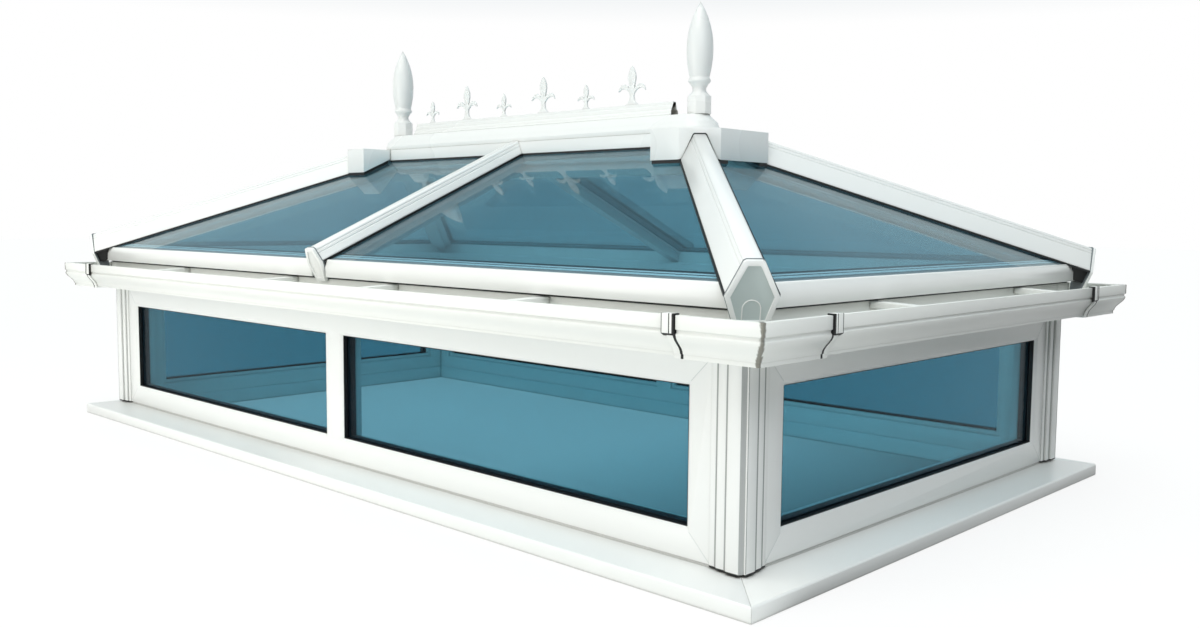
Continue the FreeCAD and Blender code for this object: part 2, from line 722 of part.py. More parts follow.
def finial():
    """Octagonal plinth under a waist, collar and leaf-shaped spear turned in flat facets."""
    plinth = slab(ring(8, FINIAL_BASE, 0), V(0, 0, PLINTH_H))
    line = [(FINIAL_BASE, PLINTH_H), (NECK_R + 1, PLINTH_H + SHOULDER)]
    for step in range(WAIST_STEPS + 1):
        t = step / WAIST_STEPS
        line.append((NECK_R + (COLLAR_R - NECK_R) * (1 - math.cos(math.pi * t / 2)),
                     NECK_AT + (COLLAR_AT - NECK_AT) * t))
    line.append((COLLAR_R, COLLAR_AT + COLLAR_T))
    wide = (LEAF_R, LEAF_AT)
    line += reversed(bow(wide, (LEAF_FOOT_R, LEAF_FOOT_AT)))
    line += [wide] + bow(wide, (0, FINIAL_H))
    piece = plinth.fuse(faceted(line, FINIAL_SIDES))
    piece.translate(V(XR + FINIAL_AT, 0, RIDGE_TOP))
    return piece


# Roof glass
def pane_corners(side):
    """Plan outlines (along, outward from the middle) of the panes in one roof plane."""
    eaves = YF + GLASS_OUT
    shift = GLASS_HIP * math.sqrt(2)
    if side in ("front", "back"):
        top = GLASS_RIDGE
        right = [(GLASS_BAR, top), (XR + top - shift, top), (XR + eaves - shift, eaves), (GLASS_BAR, eaves)]
        return [right, [(-a, b) for a, b in right]]
    top = GLASS_RIDGE + shift
    return [[(-(top - shift), top), (top - shift, top), (eaves - shift, eaves), (-(eaves - shift), eaves)]]


def roof_face(outlined, side, depth):
    """A flat face lying depth below the roof plane."""
    move = 0 if side in ("front", "back") else XR
    points = [V(a, -(move + b), APEX - TAN * b) for a, b in outlined]
    face = Part.Face(wire(points))
    face.translate(V(0, SIN * depth, -COS * depth))
    return face


SQUARE_DOWN = V(0, SIN, -COS)


def roof_sheets(side):
    sheets = []
    for outlined in pane_corners(side):
        for depth in (0, ROOF_UNIT - SHEET):
            sheets.append(turned_to(roof_face(outlined, side, depth).extrude(SQUARE_DOWN * SHEET), side))
    return sheets


def roof_spacers(side):
    rings = []
    for outlined in pane_corners(side):
        face = roof_face(outlined, side, SHEET)
        outer = face.makeOffset2D(-SPACER_IN)
        ring = outer.cut(face.makeOffset2D(-SPACER_IN - SPACER_W))
        rings.append(turned_to(ring.Faces[0].extrude(SQUARE_DOWN * (ROOF_UNIT - 2 * SHEET)), side))
    return rings


def main():
    os.makedirs("parts", exist_ok=True)
    for side in SIDES:
        save("sill_" + side, [run(sill_section, side)])
        save("window_" + side, [window(side)])
        save("wall_glass_" + side, wall_sheets(side))
        save("roof_glass_" + side, roof_sheets(side))
    save("spacer_bars", [ring for side in SIDES for ring in wall_spacers(side) + roof_spacers(side)])
    save("glazing_beads", [ring for side in SIDES for ring in beads(side)])
    save("corner_posts", four(corner_post()))

    for side in SIDES:
        save("eaves_beam_" + side, [run(beam_section, side)])

    for side in SIDES:
        reach = corner_mouth(side) + SOCKET
        save("gutter_" + side, [square_run(gutter_section, side, -reach, reach)])
    save("gutter_corners", four(gutter_corner()))
    save("gutter_straps", four(gutter_strap("front")) + four(gutter_strap("right")))
    brackets = [gutter_bracket(side, at) for side in ("front", "back") for at in BRACKET_FRONT]
    brackets += [gutter_bracket(side, at) for side in ("right", "left") for at in BRACKET_SIDE]
    save("gutter_brackets", brackets)

    hip_cap = hip.prism(hip_cap_section, tunnel_start, hip_end - END_T)
    hip_rafter = rafter(hip, HIP_HALF, HIP_FALL, hip_run(WEB_RIDGE), hip_end - END_T)
    hip_tip = end_cap(hip, HIP_HALF, HIP_CREST, HIP_HIGH, HIP_FALL, HIP_END_DEEP, hip_end)
    save("hip_caps", four(hip_cap))

    wing_keep = box(-XR, XR, -WING_HALF, WING_HALF, 0, APEX * 2)
    bar_cap = bar.prism(bar_cap_section, 0, bar_end - END_T).cut(wing_keep)
    bar_rafter = rafter(bar, BAR_HALF, 0, WEB_RIDGE / COS, bar_end - END_T).cut(ridge_wing(-1))
    bar_tip = end_cap(bar, BAR_HALF, BAR_CREST, BAR_HIGH, 0, BAR_END_DEEP, bar_end)
    save("bar_caps", [bar_cap, turned(bar_cap, 180)])
    save("rafters", four(hip_rafter) + [bar_rafter, turned(bar_rafter, 180)])
    save("end_caps", four(hip_tip) + [bar_tip, turned(bar_tip, 180)])

    strips = [hip.prism(gasket_section(HIP_HALF, HIP_FALL, sign), tunnel_start, hip_end - END_T)
              for sign in (1, -1)]
    gaskets = four(strips[0]) + four(strips[1])
    for sign in (1, -1):
        strip = bar.prism(gasket_section(BAR_HALF, 0, sign), 0, bar_end - END_T).cut(wing_keep)
        gaskets += [strip, turned(strip, 180)]
    for sign in (1, -1):
        gaskets += ridge_gasket(sign).cut(box(-BAR_HALF, BAR_HALF, -YF, YF, 0, APEX * 2)).Solids
    trims = {}
    hip_keep = (WEB_HALF + TRIM_CLEAR) * math.sqrt(2)
    bar_keep = BAR_HALF + END_LIP + END_SEAL_OUT
    for side in SIDES:
        trim = run(trim_section, side, hip_keep)
        for strip in four(strips[0]) + four(strips[1]):
            trim = trim.cut(strip)
        if side in ("front", "back"):
            trim = trim.cut(box(-bar_keep, bar_keep, -XF, XF, 0, APEX))
        trims[side] = trim.Solids
    save("eaves_trims", [piece for side in SIDES for piece in trims[side]])

    around = [hip_rafter, gutter_corner()]
    for side in ("front", "right"):
        around += trims[side] + roof_sheets(side) + roof_spacers(side) + [run(beam_section, side)]
    gaskets += four(hip_closure(around))
    gaskets += four(end_seal(hip, HIP_HALF, HIP_CREST, HIP_HIGH, HIP_FALL, HIP_END_DEEP, hip_end))
    bar_seal = end_seal(bar, BAR_HALF, BAR_CREST, BAR_HIGH, 0, BAR_END_DEEP, bar_end)
    gaskets += [bar_seal, turned(bar_seal, 180)]
    save("roof_gaskets", gaskets)

    save("ridge_beam", [ridge_beam])
    save("ridge_wings", [ridge_wing(1), ridge_wing(-1)])
    save("ridge_cap", [ridge_cap()])
    save("cresting", [cresting()])
    boss = ridge_boss()
    seal = boss_seal()
    tip = finial()
    across = V(1, 0, 0)
    save("ridge_boss_right", [boss])
    save("ridge_boss_left", [boss.mirror(ORIGIN, across)])
    save("boss_seals", seal.Solids + seal.mirror(ORIGIN, across).Solids + four(arch_seal()))
    save("finial_right", [tip])
    save("finial_left", [tip.mirror(ORIGIN, across)])


main()
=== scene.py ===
"""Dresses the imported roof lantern: rounded profiles, seams, seals, glass and finishes.

Every piece is in metres, in the frame's own place, and rides on its one body.
"""
import math

import bpy
from mathutils import Matrix, Vector


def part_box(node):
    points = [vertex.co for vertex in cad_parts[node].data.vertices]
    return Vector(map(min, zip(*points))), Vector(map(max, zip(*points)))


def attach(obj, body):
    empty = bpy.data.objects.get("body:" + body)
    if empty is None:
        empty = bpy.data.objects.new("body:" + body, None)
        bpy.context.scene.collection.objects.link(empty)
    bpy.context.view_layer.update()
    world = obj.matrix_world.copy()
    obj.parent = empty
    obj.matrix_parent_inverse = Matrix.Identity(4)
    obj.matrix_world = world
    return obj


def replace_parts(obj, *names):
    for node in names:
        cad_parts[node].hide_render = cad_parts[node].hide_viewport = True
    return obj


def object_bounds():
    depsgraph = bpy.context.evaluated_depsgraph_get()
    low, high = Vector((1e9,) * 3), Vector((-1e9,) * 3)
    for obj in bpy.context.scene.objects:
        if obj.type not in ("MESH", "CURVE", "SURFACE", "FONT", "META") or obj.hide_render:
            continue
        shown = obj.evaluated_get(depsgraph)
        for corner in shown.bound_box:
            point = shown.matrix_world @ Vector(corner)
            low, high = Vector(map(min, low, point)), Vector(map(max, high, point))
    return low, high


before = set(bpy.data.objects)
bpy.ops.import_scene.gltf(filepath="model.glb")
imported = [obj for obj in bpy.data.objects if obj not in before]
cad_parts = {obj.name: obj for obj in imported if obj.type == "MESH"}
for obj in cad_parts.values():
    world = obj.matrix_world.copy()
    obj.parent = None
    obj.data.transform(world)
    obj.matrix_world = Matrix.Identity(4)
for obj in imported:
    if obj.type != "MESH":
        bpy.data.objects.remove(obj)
CAD_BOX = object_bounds()

bl_info = {
    "name": "Roof lantern dressing",
    "version": (1, 0, 0),
    "blender": (4, 5, 0),
    "location": "View3D > Sidebar > Lantern",
    "description": "Rounded profiles, seams, seals, glass and finishes for a hipped roof lantern",
    "category": "Object",
}

MM = 0.001
BODY = "root"
SIDES = ("front", "right", "back", "left")
TURNS = {"front": 0, "right": 90, "back": 180, "left": 270}

# Wall planes read from the frame: half length and half width to the outer face
HALF_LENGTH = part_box("window_right")[1].x
HALF_WIDTH = -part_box("window_front")[0].y
HIP_SHIFT = HALF_LENGTH - HALF_WIDTH

# Least share of a face's normal along a way: square to it, turned to it, or more along it than not
SQUARE = 0.99
TURNED = 0.9
MOSTLY = 0.5

# The same for the rim of an end cap, and for a face that leans down at all
RIM_TURNED = 0.85
LEANING = 0.1

# Corner posts, in mm: face width; each quirk's distance from the window frame and how far its strip
# stands back; the strip of painted shade that closes the slot at the arris; the painted shadow line on
# the land beside that slot, and the thickness of the painted shadow lines
POST_WIDE = 82.0
QUIRKS = ((15, 8), (40, 4))
FILLER_IN = (6.5, 4.5)
FILLER_FACING = (0.874, 0.486)
FILLER_THICK = 1.0
LAND_IN = 10.4
LAND_SHADOW_LINE = 1.8
QUIRK_SHADOW_THICK = 0.4

# Thickness of the strip that draws a frame's weld, in mm
WELD_THICK = 0.3

# Gutter, in mm: depth of a clip under the lip, the back wall, and the top of the painted shadow strip over
# the lip
CLIP_DEEP = 45
GUTTER_WALL = 3
SHADOW_STRIP_RISE = 7

# Strips under the outer roof sheet, in mm: place out from the wall, depth under the sheet, thickness,
# and how far they stop short of the hip's line
BAND_OUT = 12.5
BAND_DROP = 1.5
EDGE_LINE_OUT = -6
FINE_LINE_OUT = 4
LINE_DROP = 0.7
EDGE_THICK = 1
HIP_CLEAR = 42

# Gaskets under the covers: least area of a long side in square mm, reach round an end cap in mm, and
# where the end seal lies behind the cap's rim
LONG_SIDE = 2000
CAP_REACH = 90
SEAL_NEAR = 7
SEAL_FAR = 9.9

# Hip end caps, in mm: least depth of the plate; the arch's line, its centre over its radius and the
# gap under its legs; and the number of points in its full circle
PLATE_DEEP = 2
ARCH_LINE = 1.1
ARCH_RISE = 5
ARCH_FOOT = 1
ARCH_POINTS = 40

# Cresting's open ends, in mm: length of strip that holds the hollow, and the hollow's depth
CREST_END = 26
HOLLOW_DEEP = 20

# Studio: tint of the warm lamps, sky tints by the sine of their height, floor size and drop in metres
WARM_WHITE = "FFFAF3"
SKY_WHITE_TO = 0.17
SKY = ((0.3, "ABC0CA"), (0.4, "B5C8D1"), (0.49, "8BA6B2"), (0.57, "9CB6C1"))
FLOOR_SIZE = 60
FLOOR_DROP = 0.5 * MM

# Photograph's width and focal length in pixels, sensor in mm, and the eye that fits it: yaw, pitch and
# roll in degrees, place in mm
PHOTO_WIDE = 1200
FOCAL_PIXELS = 1097.5
SENSOR = 36.0
EYE_TURN = (43.89, -4.94, 0.48)
EYE_PLACE = (2486.35, -2277.37, 684.63)


def from_hex(value):
    """Linear colour of an sRGB hex value such as "F0F1EE"."""
    shares = [int(value[i:i + 2], 16) / 255 for i in (0, 2, 4)]
    return tuple(s / 12.92 if s <= 0.04045 else ((s + 0.055) / 1.055) ** 2.4 for s in shares)


def colour(name, hex_value, description):
    """Colour property with a hex default."""
    return bpy.props.FloatVectorProperty(
        name=name, description=description, subtype="COLOR", size=3, min=0, max=1,
        default=from_hex(hex_value))


def length(name, mm, description):
    """Length property with a default in millimetres."""
    return bpy.props.FloatProperty(name=name, description=description, unit="LENGTH", default=mm * MM)


class LanternSizes(bpy.types.PropertyGroup):
    """Small sizes that the profiles and seals are finished to."""

    frame_edge: length("Frame arris", 1.4, "Radius on window frames and sills")
    cap_edge: length("Cap arris", 1.6, "Radius on ridge covers and eaves trims")
    gutter_edge: length("Gutter arris", 0.8, "Radius on thin walls, fine reeds and post strips")
    moulding_edge: length("Moulding arris", 1.0, "Radius on end caps and finials")
    sightline: length("Sightline", 60, "Face width of a window frame")
    splay: length("Splay", 9, "Face width of the frame's splayed inner edge")
    splay_deep: length("Splay depth", 6, "Depth of the splay")
    mullion: length("Mullion", 82, "Face width of the coupled mullion")
    reveal: length("Reveal", 16, "Depth from the frame's face to the glass")
    seal: length("Seal", 1.6, "Thickness of the glazing gasket")
    weld: length("Weld seam", 1.3, "Width of a cleaned mitre weld")
    union_gap: length("Union gap", 4, "Rubber seal between a gutter strap and the corner angle")
    # The next six sizes are painted shade: dark strips under the posts, round the clips and behind the
    # gutter, and grey lines beside the quirks
    post_shadow_gap: length("Post gap", 2.5, "Dark bed under a corner post")
    front_quirk_shadow: length("Front quirk shadow", 3.0, "Line of dust beside a quirk on the long sides")
    end_quirk_shadow: length("End quirk shadow", 5.6, "Line of dust beside a quirk on the ends")
    clip_shadow_line: length("Clip shadow line", 1.2, "Dark line round a gutter clip")
    eaves_gap: length("Eaves gap", 6.5, "Height of the foam in the gap behind the gutter")
    eaves_shadow_strip: length("Eaves shadow strip", 1.5, "Thickness of that foam")
    edge_band: length("Edge band", 36, "Pale band under the outer roof sheet, along the eaves")
    edge_line: length("Edge line", 6, "Dark line along the top of that band")
    fine_line: length("Fine line", 1.5, "Thin dark line within that band")
    fin: length("Gasket fin", 3.5, "Rubber seen beside a hip or bar cover")
    sheet: length("Glass sheet", 4, "Thickness of one sheet of glass")
    slot_fill: length("Slot filler", 10.4, "Width of the strip that closes a corner post's slot")
    knockout: length("Knock-out", 16, "Radius of the moulded arch on a hip end cap")


class LanternColours(bpy.types.PropertyGroup):
    """Colours of the finishes."""

    upvc: colour("White PVC-U", "F1F2F0", "Extruded white profile")
    gutter: colour("Gutter PVC-U", "EFF0EC", "Gutter profile, a shade warmer")
    # Dirt on the gutter's mitres; also the colour that the painted shade in creases and joints goes toward
    dirt_and_shade: colour("Grime", "77756B", "Dirt that gathers in joints")
    plate: colour("End plate", "BAC5C3", "Recessed plate of the hip end caps")
    # Painted shade: the grey of the thin shadow gap round each end cap
    shadow_gap_seal: colour("Grey seal", "767E81", "Seal between a cover and its end cap")
    seam: colour("Weld seam", "D9DDDB", "Cleaned weld in a frame corner")
    # Painted shadow: the grey of the lines beside the quirks
    quirk: colour("Quirk shade", "A4A6A4", "Dust beside the corner posts' quirks")
    # Painted shade: the grey of the strip across each post's slot
    filler: colour("Slot filler", "B4B6B5", "Grey strip in a corner post's slot")
    band: colour("Edge band", "CEDFE6", "Band along the eaves of the roof units")
    # Painted shade: a grey that dims the rafters and ridge beam seen under the glass
    mill: colour("Mill aluminium", "CDD2D3", "Rafters and ridge beam")
    # Painted shade: the grey inside the cresting's open ends
    hollow: colour("Hollow", "A5A39C", "Inside of the cresting strip")
    powder: colour("Powder coat", "E9ECEB", "Eaves beams")
    glass: colour("Wall glass", "A7CAD4", "Body tint of one wall sheet")
    roof_glass: colour("Roof glass", "B7D4DC", "Body tint of one roof sheet")
    # Also the black of the painted shadow strips under the posts, round the clips and behind the gutter
    rubber: colour("Rubber", "0E0F10", "Glazing gaskets and seals")
    spacer: colour("Spacer bar", "1B1E25", "Edge spacer of the wall units")
    roof_spacer: colour("Roof spacer", "8C9296", "Bright edge spacer of the roof units")
    floor: colour("Floor", "F7F7F6", "Studio floor")


def sizes():
    """Sizes set in the panel."""
    return bpy.context.scene.lantern_sizes


def colours():
    """Colours set in the panel."""
    return bpy.context.scene.lantern_colours


# Node trees
def add(tree, kind, inputs=None, **settings):
    """Add one shader node; an input takes a value, or a socket to link from."""
    made = tree.nodes.new("ShaderNode" + kind)
    for key, value in settings.items():
        setattr(made, key, value)
    for key, value in (inputs or {}).items():
        if isinstance(value, bpy.types.NodeSocket):
            tree.links.new(value, made.inputs[key])
        else:
            made.inputs[key].default_value = value
    return made


def opaque(rgb):
    """A colour with full alpha."""
    return (*rgb, 1.0)


def shade(rgb, by):
    """A darker or lighter neighbour of a colour."""
    return opaque([min(1.0, c * by) for c in rgb])


def blank(name):
    """New material and its empty node tree."""
    material = bpy.data.materials.new(name)
    material.use_nodes = True
    material.node_tree.nodes.clear()
    return material, material.node_tree


def per_metre(mm):
    """Texture scale whose pattern repeats about every so many millimetres."""
    return 1 / (mm * MM)


def blend(tree, factor, low, high):
    """Colour between two, by a factor socket."""
    return add(tree, "Mix", {"Factor": factor, 6: low, 7: high}, data_type="RGBA").outputs[2]


def crease_shade_and_dirt(tree, rgb, clean, share):
    """Base colour with painted shade and dirt: it greys in creases and joints, where occlusion is high."""
    corner = add(tree, "AmbientOcclusion", {"Distance": 7 * MM}, samples=4)
    open_share = add(tree, "MapRange", {"Value": corner.outputs["AO"], "From Min": 0.3, "From Max": 0.85})
    # Colour at full painted shade and dirt: a share of the way to the dirt colour
    soiled = [c + (g - c) * share for c, g in zip(rgb, colours().dirt_and_shade)]
    return blend(tree, open_share.outputs["Result"], opaque(soiled), clean)


def mitre_smear(tree, place):
    """Share of dirt round the gutter's mitre planes, with a ragged edge."""
    size = add(tree, "VectorMath", {0: place}, operation="ABSOLUTE")
    parts = add(tree, "SeparateXYZ", {"Vector": size.outputs["Vector"]})
    skew = add(tree, "Math", {0: parts.outputs["X"], 1: parts.outputs["Y"]}, operation="SUBTRACT")
    off = add(tree, "Math", {0: skew.outputs["Value"], 1: HIP_SHIFT}, operation="SUBTRACT")
    away = add(tree, "Math", {0: off.outputs["Value"]}, operation="ABSOLUTE")
    ragged = add(tree, "TexNoise", {"Vector": place, "Scale": per_metre(14), "Detail": 5.0})
    reach = 16 * MM
    edge = add(tree, "Math", {0: ragged.outputs["Fac"], 1: reach}, operation="MULTIPLY")
    near = add(tree, "Math", {0: away.outputs["Value"], 1: edge.outputs["Value"]}, operation="SUBTRACT")
    smear = add(tree, "MapRange", {"Value": near.outputs["Value"], "From Min": -4 * MM, "From Max": 0.5 * MM,
                                   "To Min": 0.95, "To Max": 0.0}, interpolation_type="SMOOTHSTEP")
    return smear.outputs["Result"]


def extruded_pvc(name, rgb, roughness, crease_dirt_and_shade, mitre_dirt=False):
    """Extruded PVC-U: smooth die-polished skin, faint clouding, and painted shade and dirt grey in its
    joints.
    """
    material, tree = blank(name)
    place = add(tree, "TexCoord").outputs["Object"]
    cloud = add(tree, "TexNoise", {"Vector": place, "Scale": per_metre(420), "Detail": 2.0})
    skin = add(tree, "TexNoise", {"Vector": place, "Scale": per_metre(2.5), "Detail": 2.0})
    clean = blend(tree, cloud.outputs["Fac"], shade(rgb, 0.985), opaque(rgb))
    base = crease_shade_and_dirt(tree, rgb, clean, crease_dirt_and_shade)
    if mitre_dirt:
        base = blend(tree, mitre_smear(tree, place), base, opaque(colours().dirt_and_shade))
    gloss = add(tree, "MapRange", {"Value": cloud.outputs["Fac"], "From Min": 0.3, "From Max": 0.7,
                                   "To Min": roughness - 0.02, "To Max": roughness + 0.03})
    bump = add(tree, "Bump", {"Height": skin.outputs["Fac"], "Strength": 0.03, "Distance": 0.3 * MM})
    shader = add(tree, "BsdfPrincipled", {"Base Color": base, "Roughness": gloss.outputs["Result"],
                                          "Normal": bump.outputs["Normal"], "IOR": 1.5})
    add(tree, "OutputMaterial", {"Surface": shader.outputs["BSDF"]})
    return material


def moulded(name, rgb, roughness, grain_mm=1.6):
    """Moulded plastic, rubber or coated metal with a fine grain."""
    material, tree = blank(name)
    place = add(tree, "TexCoord").outputs["Object"]
    grain = add(tree, "TexNoise", {"Vector": place, "Scale": per_metre(grain_mm), "Detail": 3.0})
    cloud = add(tree, "TexNoise", {"Vector": place, "Scale": per_metre(60), "Detail": 3.0})
    tone = blend(tree, cloud.outputs["Fac"], shade(rgb, 0.94), shade(rgb, 1.04))
    bump = add(tree, "Bump", {"Height": grain.outputs["Fac"], "Strength": 0.1, "Distance": 0.4 * MM})
    shader = add(tree, "BsdfPrincipled", {"Base Color": tone, "Roughness": roughness,
                                          "Normal": bump.outputs["Normal"]})
    add(tree, "OutputMaterial", {"Surface": shader.outputs["BSDF"]})
    return material


def tinted_glass(name, rgb, index):
    """Body-tinted float glass: clear, a faint bloom of rain marks, and light passes into the room.

    Its index is below float glass's 1.52, to match the faint mirror images of these units.
    """
    material, tree = blank(name)
    place = add(tree, "TexCoord").outputs["Object"]
    haze = add(tree, "TexNoise", {"Vector": place, "Scale": per_metre(260), "Detail": 5.0})
    rough = add(tree, "MapRange", {"Value": haze.outputs["Fac"], "From Min": 0.5, "From Max": 0.8,
                                   "To Min": 0.0, "To Max": 0.03})
    sheet = add(tree, "BsdfPrincipled", {"Base Color": opaque(rgb), "Roughness": rough.outputs["Result"],
                                         "IOR": index, "Transmission Weight": 1.0})
    clear = add(tree, "BsdfTransparent", {"Color": opaque(from_hex("EFF9FC"))})
    path = add(tree, "LightPath")
    soft = add(tree, "Math", {0: path.outputs["Is Shadow Ray"], 1: path.outputs["Is Diffuse Ray"]},
               operation="MAXIMUM")
    mix = add(tree, "MixShader", {"Fac": soft.outputs["Value"], 1: sheet.outputs["BSDF"],
                                  2: clear.outputs["BSDF"]})
    add(tree, "OutputMaterial", {"Surface": mix.outputs["Shader"]})
    return material


def seen_share(tree):
    """1 for rays that look at the background: straight, mirrored or through glass."""
    path = add(tree, "LightPath")
    seen = add(tree, "Math", {0: path.outputs["Is Camera Ray"], 1: path.outputs["Is Glossy Ray"]},
               operation="MAXIMUM")
    return add(tree, "Math", {0: seen.outputs["Value"], 1: path.outputs["Is Transmission Ray"]},
               operation="MAXIMUM").outputs["Value"]


# Modelling
def alone(*pieces):
    """Select only these objects, the first one active."""
    bpy.ops.object.select_all(action="DESELECT")
    for piece in pieces:
        piece.select_set(True)
    bpy.context.view_layer.objects.active = pieces[0]


def joined(pieces, name):
    """One object from several, its place and turn settled into the mesh."""
    alone(*pieces)
    if len(pieces) > 1:
        bpy.ops.object.join()
    bpy.ops.object.transform_apply(location=True, rotation=True, scale=True)
    piece = bpy.context.object
    piece.name = name
    piece.data.name = name
    return piece


def copied(nodes, name):
    """A merged copy of CAD nodes as one free mesh, its flat faces whole again."""
    copies = []
    for item in nodes:
        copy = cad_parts[item].copy()
        copy.data = copy.data.copy()
        copy.parent = None
        for key in [key for key in copy.keys() if key.startswith("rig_")]:
            del copy[key]
        bpy.context.scene.collection.objects.link(copy)
        copy.hide_viewport = False
        copy.hide_render = False
        copy.hide_set(False)
        copies.append(copy)
    piece = joined(copies, name)
    piece.data.materials.clear()
    bpy.ops.mesh.customdata_custom_splitnormals_clear()
    bpy.ops.object.mode_set(mode="EDIT")
    bpy.ops.mesh.select_all(action="SELECT")
    bpy.ops.mesh.remove_doubles(threshold=0.02 * MM)
    bpy.ops.mesh.dissolve_limited(angle_limit=math.radians(0.3))
    bpy.ops.object.mode_set(mode="OBJECT")
    return piece


def pick(piece, kind, wanted):
    """Enter edit mode with only the wanted vertices or faces selected."""
    alone(piece)
    bpy.ops.object.mode_set(mode="EDIT")
    bpy.ops.mesh.select_mode(type=kind)
    bpy.ops.mesh.select_all(action="DESELECT")
    bpy.ops.object.mode_set(mode="OBJECT")
    for item in piece.data.vertices if kind == "VERT" else piece.data.polygons:
        item.select = wanted(item)
    bpy.ops.object.mode_set(mode="EDIT")


def keep_faces(piece, wanted):
    """Delete all faces but those that a test wants."""
    pick(piece, "FACE", lambda polygon: not wanted(polygon))
    bpy.ops.mesh.delete(type="FACE")
    bpy.ops.object.mode_set(mode="OBJECT")


def grow_out(piece, distance):
    """Extrude an open mesh along its normals into solid blocks."""
    alone(piece)
    bpy.ops.object.mode_set(mode="EDIT")
    bpy.ops.mesh.select_all(action="SELECT")
    bpy.ops.mesh.extrude_region_shrink_fatten(TRANSFORM_OT_shrink_fatten={"value": distance})
    bpy.ops.mesh.select_all(action="SELECT")
    bpy.ops.mesh.normals_make_consistent(inside=False)
    bpy.ops.object.mode_set(mode="OBJECT")


def round_off(piece, edge, segments=2, sharp=38, smooth=34):
    """Round the sharp arrises and shade the rest smooth."""
    alone(piece)
    bevel = piece.modifiers.new("Arris", "BEVEL")
    bevel.width = edge
    bevel.segments = segments
    bevel.limit_method = "ANGLE"
    bevel.angle_limit = math.radians(sharp)
    bevel.miter_outer = "MITER_ARC"
    bpy.ops.object.modifier_apply(modifier=bevel.name)
    bpy.ops.object.shade_smooth_by_angle(angle=math.radians(smooth))


def finished(piece, slot, *materials):
    """Give a piece its materials, and let it ride on the lantern's body. Its slot is not used."""
    for material in materials:
        piece.data.materials.append(material)
    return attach(piece, BODY)


def dress(nodes, name, slot, edge, material):
    """A rounded copy that stands for CAD nodes."""
    piece = copied(nodes, name)
    round_off(piece, edge)
    finished(piece, slot, material)
    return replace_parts(piece, *nodes)


def paint(node, material):
    """Give a CAD node that keeps its shape its finish."""
    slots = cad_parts[node].data.materials
    slots.clear()
    slots.append(material)


def strip(start, stop, normal, wide, thick):
    """Thin bar from one point to another, lying on a face with this normal."""
    along = (stop - start).normalized()
    bpy.ops.mesh.primitive_cube_add(size=1)
    bar = bpy.context.object
    turn = Matrix((along, normal.cross(along), normal)).transposed().to_4x4()
    size = Matrix.Diagonal(((stop - start).length, wide, thick, 1))
    bar.matrix_world = Matrix.Translation((start + stop) / 2) @ turn @ size
    return bar


def to_side(piece, side):
    """Turn a piece that was made on the front wall to another side."""
    piece.matrix_world = Matrix.Rotation(math.radians(TURNS[side]), 4, "Z") @ piece.matrix_world
    return piece


